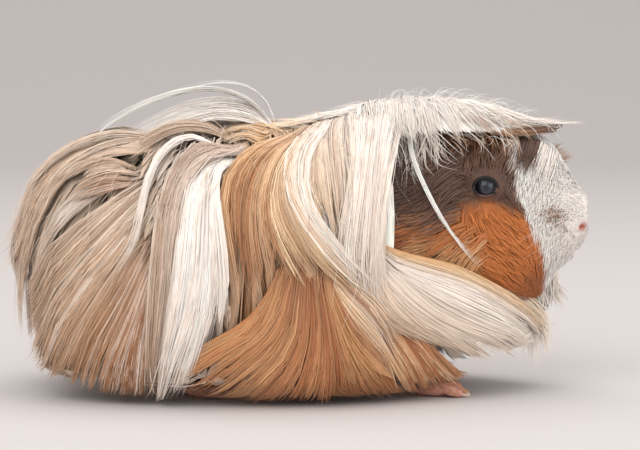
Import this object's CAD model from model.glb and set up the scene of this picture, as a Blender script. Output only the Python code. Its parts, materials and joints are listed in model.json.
# A long-haired guinea pig, life size: skin, eyes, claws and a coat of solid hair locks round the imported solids.
# Lengths are in millimetres until a mesh is made, with +X towards the nose and the floor at z = 0.
import json
import math
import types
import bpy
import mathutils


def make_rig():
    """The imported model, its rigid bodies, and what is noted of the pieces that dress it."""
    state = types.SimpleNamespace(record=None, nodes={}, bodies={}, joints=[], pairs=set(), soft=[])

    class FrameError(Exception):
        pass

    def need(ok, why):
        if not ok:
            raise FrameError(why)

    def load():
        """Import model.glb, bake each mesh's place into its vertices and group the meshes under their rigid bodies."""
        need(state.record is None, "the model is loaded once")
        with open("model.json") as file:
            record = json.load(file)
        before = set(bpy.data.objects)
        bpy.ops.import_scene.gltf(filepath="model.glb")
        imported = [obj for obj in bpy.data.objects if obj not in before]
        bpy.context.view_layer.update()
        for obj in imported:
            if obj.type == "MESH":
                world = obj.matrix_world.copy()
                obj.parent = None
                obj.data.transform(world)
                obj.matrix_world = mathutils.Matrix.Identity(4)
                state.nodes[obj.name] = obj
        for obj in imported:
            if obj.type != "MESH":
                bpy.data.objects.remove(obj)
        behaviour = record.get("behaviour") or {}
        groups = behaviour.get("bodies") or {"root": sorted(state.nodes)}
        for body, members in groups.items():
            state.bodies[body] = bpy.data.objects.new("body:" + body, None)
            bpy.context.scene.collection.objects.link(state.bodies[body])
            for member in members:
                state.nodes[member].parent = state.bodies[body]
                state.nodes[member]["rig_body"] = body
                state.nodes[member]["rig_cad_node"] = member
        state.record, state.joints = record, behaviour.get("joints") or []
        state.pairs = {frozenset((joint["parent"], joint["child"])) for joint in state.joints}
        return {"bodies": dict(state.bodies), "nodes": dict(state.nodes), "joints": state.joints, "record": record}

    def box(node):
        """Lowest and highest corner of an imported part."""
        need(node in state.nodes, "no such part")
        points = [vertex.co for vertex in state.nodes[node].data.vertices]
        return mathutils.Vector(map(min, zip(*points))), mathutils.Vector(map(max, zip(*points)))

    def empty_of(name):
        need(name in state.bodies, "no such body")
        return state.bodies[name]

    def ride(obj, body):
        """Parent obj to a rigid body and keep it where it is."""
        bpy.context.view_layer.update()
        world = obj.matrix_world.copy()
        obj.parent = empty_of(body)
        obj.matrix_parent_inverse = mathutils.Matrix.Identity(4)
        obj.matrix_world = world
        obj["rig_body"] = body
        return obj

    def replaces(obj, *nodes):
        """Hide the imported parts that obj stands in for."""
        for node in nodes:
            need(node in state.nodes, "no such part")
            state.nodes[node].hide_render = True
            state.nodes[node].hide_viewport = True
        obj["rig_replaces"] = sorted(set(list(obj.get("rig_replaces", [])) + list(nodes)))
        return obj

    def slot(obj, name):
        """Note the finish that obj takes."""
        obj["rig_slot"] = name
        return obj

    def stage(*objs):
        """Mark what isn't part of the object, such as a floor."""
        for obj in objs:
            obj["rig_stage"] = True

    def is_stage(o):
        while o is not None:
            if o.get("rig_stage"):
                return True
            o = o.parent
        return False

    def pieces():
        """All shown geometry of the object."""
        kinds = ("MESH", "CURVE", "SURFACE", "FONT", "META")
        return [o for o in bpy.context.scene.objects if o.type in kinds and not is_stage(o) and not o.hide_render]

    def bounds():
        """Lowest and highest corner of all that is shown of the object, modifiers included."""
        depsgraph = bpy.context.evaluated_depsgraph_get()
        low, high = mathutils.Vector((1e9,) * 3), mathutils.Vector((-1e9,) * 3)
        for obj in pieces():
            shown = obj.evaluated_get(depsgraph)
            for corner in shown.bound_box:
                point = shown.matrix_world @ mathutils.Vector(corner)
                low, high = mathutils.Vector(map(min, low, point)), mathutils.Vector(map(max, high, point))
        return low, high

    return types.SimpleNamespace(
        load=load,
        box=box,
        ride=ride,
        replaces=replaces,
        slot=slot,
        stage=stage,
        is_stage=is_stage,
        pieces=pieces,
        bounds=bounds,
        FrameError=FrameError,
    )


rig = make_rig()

import time; T0 = time.time()

import bmesh
import bpy
import numpy as np
from mathutils import Euler, Matrix, Vector

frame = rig.load()
CAD_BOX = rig.bounds()

MM = 0.001
RIGHT, LEFT = -1, 1
SIDES = ((RIGHT, "right"), (LEFT, "left"))
SHIFT = np.array([0.89, 0.0, 0.0])  # from the tables below to the model's own origin
rng = np.random.default_rng(20)

# ---- the animal's measures ----
EYE_RADIUS = 5.8
EYE_MIDDLE = {side: np.array(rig.box(f"eye_{name}")).mean(axis=0) / MM - SHIFT for side, name in SIDES}
EYE_SEEN = (80.4, 92.1)  # the eye's x and z before the head is turned
HEAD_TURN = math.radians(-5)
NAPE = np.array([50.0, 0.0, 92.0])
EAR = dict(x=50, y=30, z=88, width=23, height=27, dish=4.4, tip=28, sweep=14, splay=24)
FRONT_FOOT = dict(x=56.5, y=26, length=22, width=12, height=9, toes=4, claw=2.8, knee=(49, 22, 27))
HIND_FOOT = dict(x=-36, y=33, length=38, width=13, height=9, toes=3, claw=3.6, knee=(-48, 29, 28))

# Stations of the coat: x, then the heights of its top, widest level and hem, and its half width.
COAT_BODY = [
    (-128.2, 68, 60, 52, 3), (-125.6, 84, 54, 29, 18), (-119.5, 96, 48, 13.5, 33), (-109, 106, 43, 5.5, 45),
    (-94, 111.5, 39, 2.2, 54), (-70, 115, 35, 1.6, 61), (-40, 118.4, 31, 2, 64), (-12, 117.4, 29, 1.2, 64.5),
    (12, 122.6, 30, 1.2, 62), (29, 127, 33, 1.6, 57.5), (38, 126, 35, 2, 54.5), (44, 104, 37, 2.6, 51.5),
    (52, 84, 38, 3, 47.5), (62, 72, 39, 6.5, 42), (74, 64, 39, 10.5, 36.5), (88, 57, 39, 14, 28.5),
    (98, 52, 39, 19, 20), (105, 47, 39, 26, 11), (108.4, 41, 38, 34, 2.5),
]
COAT_HEAD = [
    (36, 116, 80, 60, 28), (44, 118, 76, 52, 31), (54, 119.2, 72, 45, 32), (66, 119, 69, 40.5, 31.6),
    (78, 118.4, 67, 38.2, 30), (90, 117.6, 66, 37.6, 27.8), (99, 116.2, 66, 39.2, 25.2),
    (104.8, 113.6, 67, 42.8, 22.8), (109.8, 109.2, 69, 50, 20.2), (115, 101, 72, 56, 16.6),
    (119.6, 93.4, 75, 60, 13.2), (123, 88.4, 77, 65.2, 10), (125.4, 84.6, 78, 71.6, 6.4), (126.4, 81, 78.4, 75.6, 3.6),
]
COAT_MANE = [
    (10, 124, 107, 92, 30), (24, 127.5, 107, 92, 30), (34, 128.6, 107, 92, 30), (44, 129.6, 107, 91, 32),
    (60, 129, 106, 92, 32.4), (74, 127.6, 106, 95, 30), (84, 124.8, 107, 99, 25.4), (92, 121.6, 109, 103, 20),
    (101, 119.4, 112, 106, 13.5), (110, 118.8, 115, 111, 7), (117.6, 119.6, 118.2, 117, 1.5),
]
SKIN_BODY = [
    (-113, 62, 58, 54, 3), (-110, 79, 55, 34, 17), (-102, 92, 51, 21, 28), (-86, 101.5, 48, 13, 38),
    (-60, 106, 45, 10, 45), (-30, 108.5, 43, 9, 48), (0, 110, 43, 9, 46), (25, 112, 45, 10, 41),
    (42, 108, 50, 14, 36), (62, 98, 52, 20, 29), (80, 84, 54, 28, 20), (92, 66, 54, 42, 7),
]
# How far the head's skin lies under its coat, by x.
HEAD_DEPTH = [(36, 6), (60, 4.2), (90, 2.8), (98, 2.2), (106, 1.7), (112, 1.4), (120, 1.0), (126.4, 0.5)]

# ---- colours ----


def tone(red, green, blue):
    """A colour given in display values from 0 to 255, as light values."""
    share = np.array([red, green, blue]) / 255
    return np.where(share <= 0.04045, share / 12.92, ((share + 0.055) / 1.055) ** 2.4)


WHITE = tone(246, 237, 229)
CREAM = tone(236, 218, 202)
BEIGE = tone(216, 190, 166)
UMBER = tone(170, 136, 112)
TAN = tone(214, 178, 144)
GOLD = tone(214, 166, 118)
COPPER = tone(188, 132, 90)
RUSSET = tone(166, 102, 60)
ORANGE = tone(202, 118, 58)
RUST = tone(150, 84, 44)
BROWN = tone(112, 80, 64)
DARK = tone(64, 47, 42)
CHESTNUT = tone(132, 84, 54)
PALE_GOLD = tone(238, 208, 170)
PINK = tone(208, 150, 134)
EAR_SKIN = tone(134, 94, 82)

# ---- forms ----

ROLL = 60.0  # millimetres round a section for each radian


def ease(xs, ys, want):
    """Values of a smooth curve through a table, at want."""
    slopes = np.gradient(ys, xs)
    i = np.clip(np.searchsorted(xs, want, side="right") - 1, 0, len(xs) - 2)
    span = xs[i + 1] - xs[i]
    t = (want - xs[i]) / span
    rise = (2 * t**3 - 3 * t**2 + 1) * ys[i] + (3 * t**2 - 2 * t**3) * ys[i + 1]
    return rise + span * ((t**3 - 2 * t**2 + t) * slopes[i] + (t**3 - t**2) * slopes[i + 1])


class Form:
    """A lofted form: heights and half widths along x, with a superellipse for every section."""

    def __init__(self, stations, upper, lower):
        table = np.array(stations, float)
        self.powers = upper, lower
        self.x = np.arange(table[0, 0], table[-1, 0], 0.5)
        self.columns = [ease(table[:, 0], table[:, k], self.x) for k in range(1, 5)]

    def at(self, x):
        return [np.interp(x, self.x, column) for column in self.columns]

    def ratio(self, p):
        """1 on the form, less inside and more outside."""
        top, waist, hem, half = self.at(p[..., 0])
        above = p[..., 2] >= waist
        tall = np.where(above, top - waist, waist - hem)
        power = np.where(above, *self.powers)
        share = np.abs(p[..., 1] / half) ** power + np.abs((p[..., 2] - waist) / tall) ** power
        return np.maximum(share, 1e-6) ** (1 / power)

    def slope(self, p):
        step = 0.4
        parts = []
        for axis in range(3):
            move = np.zeros(3)
            move[axis] = step
            parts.append((self.ratio(p + move) - self.ratio(p - move)) / (2 * step))
        return np.stack(parts, axis=-1)

    def normal(self, p):
        return unit(self.slope(p))

    def settle(self, p, rounds=3):
        """Points moved to the form's surface."""
        p = p.copy()
        for _ in range(rounds + 1):
            p[..., 0] = np.clip(p[..., 0], self.x[0] + 0.5, self.x[-1] - 0.5)
            slope = self.slope(p)
            move = (self.ratio(p) - 1)[..., None] * slope / ((slope**2).sum(-1, keepdims=True) + 1e-9)
            length = np.linalg.norm(move, axis=-1, keepdims=True)
            p -= move * np.minimum(1, 12 / (length + 1e-9))
        return p

    def turn(self, x, angle, side):
        """The point of one side at x, in a direction up from level as seen from the middle of the section."""
        top, waist, hem, half = self.at(x)
        over, up = np.cos(angle), np.sin(angle)
        power = np.where(up >= 0, *self.powers)
        tall = np.where(up >= 0, top - waist, waist - hem)
        reach = (np.abs(over / half) ** power + np.abs(up / tall) ** power) ** (-1 / power)
        return np.stack([x, side * reach * over, waist + reach * up], axis=-1)

    def unroll(self, line):
        """Points (x, z) of a side as (x, distance round the section)."""
        x, z = np.array(line, float).T
        top, waist, hem, half = self.at(x)
        z = np.clip(z, hem + 0.4, top - 0.4)
        power = np.where(z >= waist, *self.powers)
        share = np.abs((z - waist) / np.where(z >= waist, top - waist, waist - hem))
        return np.stack([x, np.arctan2(z - waist, half * (1 - share**power) ** (1 / power)) * ROLL], axis=1)

    def scatter(self, count, x_range, turns, side, density=None):
        """Points spread evenly over part of one side, between two directions up from level in degrees."""
        x = np.linspace(*x_range, 160)
        angle = np.radians(np.linspace(*turns, 90))
        grid = self.turn(*np.meshgrid(x, angle, indexing="ij"), side)
        cell = np.cross(np.diff(grid[:, :-1], axis=0), np.diff(grid[:-1], axis=1))
        share = np.linalg.norm(cell, axis=-1)
        if density is not None:
            share = share * density(grid[:-1, :-1])
        pick = rng.choice(share.size, count, p=(share / share.sum()).ravel())
        i, j = np.unravel_index(pick, share.shape)
        x = x[i] + (x[1] - x[0]) * rng.random(count)
        return self.turn(x, angle[j] + (angle[1] - angle[0]) * rng.random(count), side)


def unit(v):
    return v / (np.linalg.norm(v, axis=-1, keepdims=True) + 1e-9)


def turned(p, back=False, about=NAPE):
    """Points of the head turned with it about the nape."""
    angle = -HEAD_TURN if back else HEAD_TURN
    c, s = math.cos(angle), math.sin(angle)
    q = p - about
    return np.stack([q[..., 0] * c - q[..., 1] * s, q[..., 0] * s + q[..., 1] * c, q[..., 2]], axis=-1) + about


def ramp(value, low, high):
    share = np.clip((value - low) / (high - low), 0, 1)
    return share * share * (3 - 2 * share)


def mix(first, second, share):
    return first * (1 - share[..., None]) + second * share[..., None]


body_form = Form(COAT_BODY, 2.25, 4.2)
head_form = Form(COAT_HEAD, 2.2, 2.4)
mane_form = Form(COAT_MANE, 2.5, 2.2)
skin_form = Form(SKIN_BODY, 2.2, 2.6)

# ---- markings ----


def wobble(p, size, seed):
    """A smooth uneven value from -1 to 1 that changes over about size."""
    q = p / size
    a = np.sin(q[..., 0] * 1.7 + seed) * np.cos(q[..., 2] * 1.3 + 2.1 * seed)
    b = np.sin(q[..., 2] * 2.3 + q[..., 0] * 0.9 + 3.7 * seed) * np.cos(q[..., 1] * 1.9 + seed)
    return (a + b) / 2


def head_marking(p):
    """Colour of the head's coat by where a hair is rooted, before the head is turned."""
    x, y, z = p[..., 0], p[..., 1], p[..., 2]
    uneven = wobble(p, 5.0, 1.0) * 1.6
    brown_low = np.interp(x, [36, 56, 66, 80, 94], [78, 79, 85, 85.5, 82])
    orange_low = np.interp(x, [36, 56, 68, 84, 96, 106], [64, 64, 58, 49, 43, 42])
    front = np.interp(z, [42, 48, 62, 70, 84, 97, 120], [110, 108.5, 106, 103, 96.5, 93.5, 95])
    orange = mix(ORANGE, RUST, ramp(x, 84, 98) * ramp(z, 68, 52) * 0.8)
    orange = mix(orange, GOLD, ramp(z, 72, 58) * ramp(x, 80, 52) * 0.85)
    colour = mix(np.broadcast_to(CREAM, p.shape), orange, ramp(z + uneven, orange_low - 2.5, orange_low + 2.5))
    eye_dark = np.exp(-(((x - EYE_SEEN[0]) / 13) ** 2 + ((z - EYE_SEEN[1]) / 10) ** 2))
    ear_dark = np.exp(-(((x - 56) / 11) ** 2 + ((z - 103) / 7) ** 2))
    brown = mix(np.broadcast_to(BROWN, p.shape), DARK, np.maximum(eye_dark * 0.4, ear_dark * 0.85))
    brown = mix(brown, COPPER, ramp(z, 110, 117) * 0.6)
    colour = mix(colour, brown, ramp(z + uneven, brown_low - 2.5, brown_low + 2.5))
    colour = mix(colour, np.broadcast_to(WHITE, p.shape), ramp(x + uneven * 0.7, front - 1.3, front + 1.3))
    # the brown of the left side reaches further forward over the brow
    brow = ramp(y, 5, 9) * ramp(x, 99, 103) * ramp(x, 116, 111) * ramp(z, 93, 97) * ramp(z, 110, 106)
    colour = mix(colour, np.broadcast_to(COPPER, p.shape), brow * 0.9)
    return colour


def body_marking(p):
    """Colour of the long coat by where a hair is rooted."""
    x, z = p[..., 0], p[..., 2]
    uneven = wobble(p, 11.0, 2.0) * 5
    colour = np.broadcast_to(BEIGE, p.shape)
    colour = mix(colour, np.broadcast_to(UMBER, p.shape), ramp(z, 80, 25) * ramp(x, -125, -70) * 0.7)
    colour = mix(colour, np.broadcast_to(CREAM, p.shape), ramp(x + uneven, -62, -52))
    tan = mix(np.broadcast_to(TAN, p.shape), COPPER * 0.85, ramp(z, 108, 78))
    colour = mix(colour, tan, ramp(x + uneven, -38, -30))
    pale = ramp(x + uneven, 4, 12) * np.maximum(ramp(z, 62, 74), ramp(x, 30, 38))
    colour = mix(colour, mix(np.broadcast_to(WHITE, p.shape), BEIGE * 0.85, ramp(z, 66, 50) * ramp(x, 66, 50)), pale)
    low = ramp(z, 34, 22) * ramp(x, -40, -20) * (1 - ramp(x, 60, 74))
    colour = mix(colour, np.broadcast_to(COPPER, p.shape), low)
    shadow = np.exp(-(((x + 37) / 9) ** 2 + ((z - 109) / 4.5) ** 2))
    return mix(colour, np.broadcast_to(UMBER, p.shape), shadow * 0.8)


# ---- making hair ----


class Coat:
    """Collects strands of hair and makes them into one mesh piece."""

    def __init__(self, name, slot):
        self.name, self.slot = name, slot
        self.verts, self.faces, self.tints, self.facing, self.places, self.streaks = [], [], [], [], [], []
        self.count = 0

    def add(self, paths, normals, width, tints, thick=0.42, soft=0.75):
        """Strands along paths (count, points, 3), each a closed three-sided blade that tapers to its tip.

        soft is how far a strand is shaded as part of the coat, rather than as a hair on its own."""
        count, points = paths.shape[:2]
        tangents = unit(np.gradient(paths, axis=1))
        across = unit(np.cross(tangents, normals))
        out = unit(np.cross(across, tangents))
        wide = (width / 2)[..., None]
        ring = np.stack([paths - across * wide, paths + out * wide * thick * 2, paths + across * wide], axis=2)
        verts = np.concatenate([ring[:, :-1].reshape(count, -1, 3), paths[:, -1:]], axis=1)
        round_up = np.stack([-across - out * 0.3, out, across - out * 0.3], axis=2)
        coat_up = normals[:, :, None] + round_up * np.array([0.45, 0.2, 0.45])[None, None, :, None]
        facing = unit(unit(round_up) * (1 - soft) + unit(coat_up) * soft)
        facing = np.concatenate([facing[:, :-1].reshape(count, -1, 3), unit(normals[:, -1:] + 1e-4)], axis=1)
        each = verts.shape[1]
        faces = [(2, 1, 0)]
        for i in range(points - 2):
            for j in range(3):
                a, b = i * 3 + j, i * 3 + (j + 1) % 3
                faces += [(a, b, a + 3), (b, b + 3, a + 3)]
        last = (points - 2) * 3
        faces += [(last + j, last + (j + 1) % 3, each - 1) for j in range(3)]
        starts = self.count + np.arange(count) * each
        self.verts.append(verts.reshape(-1, 3))
        self.facing.append(facing.reshape(-1, 3))
        self.faces.append((np.array(faces)[None] + starts[:, None, None]).reshape(-1, 3))
        tint = np.concatenate([np.repeat(tints[:, :-1], 3, axis=1), tints[:, -1:]], axis=1)
        self.tints.append(tint.reshape(-1, 3))
        # the bake map's patch, at the root's place round and along the body
        root = paths[:, 0]
        base = np.stack([root[:, 0], np.arctan2(root[:, 1], root[:, 2] - 50) * ROLL], axis=-1)
        patch = np.stack([np.append(np.tile([-1.0, 0.0, 1.0], points - 1), 0.0),
                          np.append(np.repeat(np.linspace(-1, 1, points - 1), 3), 1.0)], axis=-1)
        self.places.append((np.repeat(base, each, axis=0), np.tile(patch, (count, 1))))
        # the streaks' map, in millimetres across and along each strand
        along = np.concatenate([np.zeros((count, 1)), np.cumsum(np.linalg.norm(np.diff(paths, axis=1), axis=-1), axis=1)], axis=1)
        start = rng.random((count, 1)) * 900
        across_mm = np.stack([start - width / 2, start + 0 * width, start + width / 2], axis=2)
        streak = np.stack([across_mm, np.repeat(along[:, :, None], 3, axis=2)], axis=-1)
        self.streaks.append(np.concatenate([streak[:, :-1].reshape(count, -1, 2), streak[:, -1:, 1]], axis=1).reshape(-1, 2))
        self.count += count * each

    def build(self, material):
        verts = np.concatenate(self.verts) + SHIFT
        verts[:, 2] = np.maximum(verts[:, 2], 0.25)
        faces = np.concatenate(self.faces).astype(np.int32)
        base, patch = (np.concatenate(part) for part in zip(*self.places))
        low, high = base.min(0), base.max(0)
        uv = 0.01 + 0.98 * (base - low) / (high - low) + patch * 0.0015
        tints = np.concatenate(self.tints)
        mesh = bpy.data.meshes.new(self.name)
        mesh.vertices.add(len(verts))
        mesh.vertices.foreach_set("co", (verts * MM).ravel())
        mesh.loops.add(faces.size)
        mesh.loops.foreach_set("vertex_index", faces.ravel())
        mesh.polygons.add(len(faces))
        mesh.polygons.foreach_set("loop_start", np.arange(0, faces.size, 3, dtype=np.int32))
        mesh.polygons.foreach_set("use_smooth", np.ones(len(faces), bool))
        mesh.update(calc_edges=True)
        for name, place in (("OFBake", uv), ("Streak", np.concatenate(self.streaks))):
            mesh.uv_layers.new(name=name).data.foreach_set("uv", place[faces.ravel()].ravel())
        tint = mesh.color_attributes.new("Coat", "FLOAT_COLOR", "POINT")
        tint.data.foreach_set("color", np.concatenate([tints, np.ones((len(tints), 1))], axis=1).ravel())
        mesh.normals_split_custom_set_from_vertices(unit(np.concatenate(self.facing)))
        mesh.materials.append(material)
        piece = bpy.data.objects.new(self.name, mesh)
        bpy.context.collection.objects.link(piece)
        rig.ride(piece, "root")
        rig.slot(piece, self.slot)
        print("PIECE", self.name, len(faces), round(time.time() - T0, 1))
        return piece


def resample(paths, points, stop=None, start=None, bend=14.0):
    """Paths (count, many, 3) with points between shares of their length, closer where they bend."""
    steps = np.linalg.norm(np.diff(paths, axis=1), axis=-1)
    ways = unit(np.diff(paths, axis=1))
    bends = np.linalg.norm(np.diff(ways, axis=1), axis=-1)
    steps = steps + bend * (np.pad(bends, ((0, 0), (1, 0))) + np.pad(bends, ((0, 0), (0, 1)))) / 2
    along = np.concatenate([np.zeros((len(paths), 1)), np.cumsum(steps, axis=1)], axis=1)
    stop = np.ones(len(paths)) if stop is None else stop
    start = np.zeros(len(paths)) if start is None else start
    want = (start[:, None] + (stop - start)[:, None] * np.linspace(0, 1, points)) * along[:, -1:]
    out = np.empty((len(paths), points, paths.shape[2]))
    for k in range(len(paths)):
        for axis in range(paths.shape[2]):
            out[k, :, axis] = np.interp(want[k], along[k], paths[k, :, axis])
    return out


def curve_through(line, count=40):
    """A smooth curve through a few points."""
    pts = np.array(line, float)
    gaps = np.linalg.norm(np.diff(pts, axis=0), axis=1) ** 0.5
    at = np.concatenate([[0], np.cumsum(gaps)])
    want = np.linspace(0, at[-1], count)
    return np.stack([ease(at, pts[:, k], want) for k in range(pts.shape[1])], axis=1)


def spread_of(values, points):
    """A few values spaced evenly along a strand, as one for each of its points."""
    return np.interp(np.linspace(0, 1, points), np.linspace(0, 1, len(values)), values)


def bundle(guides, normals, per, spread, depth, vary=0.25, wave=0.5, stray=0.04):
    """Strands round each guide: spread and depth are the bundle's width and thickness along it."""
    points = guides.shape[1]
    spread = np.repeat(spread, per, axis=0) if np.ndim(spread) == 2 else spread_of(spread, points)
    guides, normals = np.repeat(guides, per, axis=0), np.repeat(normals, per, axis=0)
    total = len(guides)
    s = np.linspace(0, 1, points)
    radius, angle = np.sqrt(rng.random((total, 1))), rng.random((total, 1)) * 2 * np.pi
    across = unit(np.cross(unit(np.gradient(guides, axis=1)), normals))
    phase, turns = rng.random((total, 1)) * 2 * np.pi, rng.uniform(0.5, 1.6, (total, 1))
    sway = wave * s * np.sin(2 * np.pi * turns * s + phase)
    loose = (rng.random((total, 1)) < stray) * rng.normal(0, 4, (total, 1)) * s**1.5
    lift = (rng.random((total, 1)) < stray) * rng.random((total, 1)) * 3 * s
    aside = radius * np.cos(angle) * spread / 2 + sway + loose
    paths = guides + across * aside[..., None]
    paths = paths + normals * (radius * np.sin(angle) * spread_of(depth, points) / 2 + lift)[..., None]
    stop = 1 - vary * rng.random((total, 1)) ** 1.6
    begin = vary * 0.3 * rng.random((total, 1))
    at = (begin + s * (stop - begin)) * (points - 1)
    low = np.minimum(at.astype(int), points - 2)
    part = (at - low)[..., None]
    rows = np.arange(total)[:, None]
    return paths[rows, low] * (1 - part) + paths[rows, low + 1] * part, normals[rows, low]


def blade(count, points, width, jitter=0.3, root=0.7):
    """Widths along each strand, tapering to a fine tip."""
    s = np.linspace(0, 1, points)
    shape = np.minimum(1, root + s * 2) * np.maximum(1 - s**2.2, 0) ** 0.8
    return width * rng.uniform(1 - jitter, 1 + jitter, (count, 1)) * np.maximum(shape, 0.14)


def shades(base, count, points, vary=0.08, root=0.85, tip=1.05, second=None, share=0.0, end=None, turn=0.5):
    """Colours along each strand: a little different for each, darker at the root and lighter at the tip.

    second is mixed in strand by strand, and end is the colour that they turn to from about turn onwards."""
    s = np.linspace(0, 1, points)[None, :, None]
    base = np.broadcast_to(base, (count, 3)).copy()
    if second is not None:
        part = np.clip(rng.normal(share, 0.28, (count, 1)), 0, 1)
        base = base * (1 - part) + second * part
    base = np.repeat(base[:, None], points, axis=1)
    if end is not None:
        start = turn + rng.normal(0, 0.12, (count, 1, 1))
        late = ramp(s, start - 0.25, start + 0.3)
        base = base * (1 - late) + end * late
    warm = rng.normal(0, vary * 0.25, (count, 1, 1)) * np.array([1.0, 0.0, -1.2])
    base = base * np.exp(rng.normal(0, vary, (count, 1, 1))) * (1 + warm)
    return np.clip(base * (root + (tip - root) * np.minimum(1, s * 1.6)), 0.004, 0.93)


# ---- the long coat ----

# How far the coat sweeps forward, or back, for each part that it falls, by x.
SWEEP = [(-126, -1.25), (-100, -1.05), (-75, -0.62), (-50, -0.2), (-30, 0.02), (-5, 0.16), (18, 0.08), (34, 0.05),
         (46, 0.35), (60, 0.9), (80, 1.5), (100, 1.6)]


def fall(form, roots, side, lengths, heights, swing, floor, points, steps=26):
    """Guides that fall over a form from their roots, cut where they come to the floor."""
    p = form.settle(roots)
    path = [p]
    for _ in range(steps):
        n = form.normal(p)
        sweep = np.interp(p[:, 0], *zip(*SWEEP)) + swing
        d = np.stack([sweep, np.full(len(p), side * 0.9), -np.ones(len(p))], axis=-1)
        d = unit(d - n * (d * n).sum(-1, keepdims=True))
        p = form.settle(p + d * (lengths / steps)[:, None], rounds=1)
        path.append(p)
    path = np.stack(path, axis=1)
    low = path[..., 2] < floor[:, None]
    stop = np.where(low.any(axis=1), low.argmax(axis=1), steps) / steps
    path = resample(path, points, stop=np.maximum(stop, 0.25))
    normals = form.normal(path)
    rise = spread_of([-9, -3, -0.8, -0.6, -0.6], points)
    return path + normals * (rise + heights[:, None])[..., None], normals


def base_coat(coat, side, count, per, x_range, turns, lengths, points=6, width=0.8, heights=(-4.5, -1), ribbon=6.5):
    roots = body_form.scatter(count, x_range, turns, side)
    roots = roots[roots[:, 2] < np.interp(roots[:, 0], [33, 36, 52, 66, 80, 94], [130, 62, 57, 51, 43, 35])]
    count = len(roots)
    guides, normals = fall(body_form, roots, side, rng.uniform(*lengths, count), rng.uniform(*heights, count),
                           rng.normal(0, 0.14, count), rng.uniform(1.5, 7.0, count), points)
    tints = body_marking(guides[:, 1])
    coat.add(guides - normals * 0.6, normals, blade(count, points, ribbon), shades(tints * 0.96, count, points, 0.06, 0.9, 1.0),
             thick=0.08, soft=0.92)
    paths, facing = bundle(guides, normals, per, (9, 7, 4.5, 2.4), (2, 3, 2.5, 1.5), vary=0.3, wave=0.7)
    total = count * per
    coat.add(paths, facing, blade(total, points, width), shades(np.repeat(tints, per, axis=0), total, points, 0.07, 0.85, 1.02),
             soft=0.85)


def hues(*values):
    return np.array([tone(*value) for value in values])


# Sheets of the side's long hair: guide lines (x, z) from its back edge to its front edge, each with the colours of
# its roots, middle and tips, then the sheet's lanes, strands for each lane, height over the coat and other settings.
LOOPS = ([([(-68, 111), (-86, 112), (-102, 108), (-115, 98), (-124, 83), (-128.5, 65), (-129, 45), (-127, 32)],
           hues((226, 204, 184), (216, 190, 166), (200, 168, 140))),
          ([(-67, 109), (-85, 109), (-100, 105), (-112, 94), (-119, 79), (-124, 62), (-127, 42), (-126, 26)],
           hues((218, 194, 172), (212, 184, 160), (196, 162, 132))),
          ([(-67, 107), (-84, 106), (-98, 101), (-108, 89), (-115, 74), (-120, 56), (-123, 38), (-122, 20)],
           hues((208, 180, 156), (206, 178, 152), (190, 156, 126)))], 13, 26, 0.8)
HOLLOW = ([([(-67, 106), (-83, 100), (-99, 91), (-111, 77), (-121, 52)], hues((214, 192, 176), (226, 214, 206), (200, 172, 146))),
           ([(-66, 103), (-80, 96), (-95, 86), (-108, 72), (-121, 48)], hues((206, 180, 160), (216, 200, 188), (198, 168, 140)))],
          9, 20, -0.8)
TUFTS = ([([(-72, 105), (-84, 105), (-96, 101), (-105, 94)], hues((214, 188, 164), (196, 162, 134), (214, 188, 164))),
          ([(-72, 101), (-83, 99), (-94, 95), (-104, 89)], hues((200, 168, 140), (166, 126, 98), (202, 172, 146))),
          ([(-72, 97), (-80, 93), (-90, 89), (-103, 85)], hues((170, 130, 102), (160, 118, 90), (204, 176, 150)))], 9, 22, 1.2)
REAR = ([([(-62, 104), (-75, 94), (-92, 81), (-107, 68), (-124, 42)], hues((222, 200, 180), (216, 190, 166), (200, 166, 138))),
         ([(-62, 101), (-75, 88), (-90, 72), (-105, 55), (-123, 29)], hues((220, 196, 174), (214, 186, 158), (198, 162, 132))),
         ([(-62, 98), (-72, 82), (-87, 64), (-104, 42), (-120, 13)], hues((216, 190, 168), (208, 176, 146), (194, 154, 122))),
         ([(-61, 92), (-71, 74), (-84, 52), (-97, 32), (-111, 8)], hues((212, 184, 160), (194, 156, 120), (192, 144, 104))),
         ([(-61, 86), (-69, 65), (-79, 44), (-90, 24), (-98, 4)], hues((204, 172, 146), (180, 134, 96), (194, 140, 96))),
         ([(-61, 78), (-67, 57), (-74, 36), (-81, 18), (-88, 2.5)], hues((190, 152, 124), (162, 112, 76), (188, 132, 88))),
         ([(-62, 67), (-66, 49), (-70, 32), (-72, 16), (-77, 2.5)], hues((176, 136, 108), (150, 100, 66), (180, 126, 84))),
         ([(-63, 59), (-65, 42), (-67, 27), (-68, 17), (-70, 2.5)], hues((168, 130, 104), (150, 102, 70), (178, 126, 88)))],
        44, 23, 0.8)
BAND = ([([(-30, 108), (-44, 111), (-52, 108), (-58, 100), (-62, 88), (-64, 72), (-66, 51), (-67, 30), (-68, 14), (-70, 3)],
          hues((176, 148, 128), (206, 184, 168), (190, 152, 122))),
         ([(-29, 108), (-39, 109), (-48, 105), (-54, 97), (-57, 86), (-59, 72), (-60, 55), (-61, 38), (-63, 20), (-66, 2.5)],
          hues((194, 170, 152), (212, 192, 178), (198, 168, 144))),
         ([(-27, 106), (-36, 106), (-43, 103), (-48, 98), (-51, 88), (-53, 74), (-55, 57), (-57, 40), (-60, 22), (-64, 2.5)],
          hues((212, 192, 176), (228, 212, 200), (214, 188, 166)))], 13, 26, 1.6)
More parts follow.
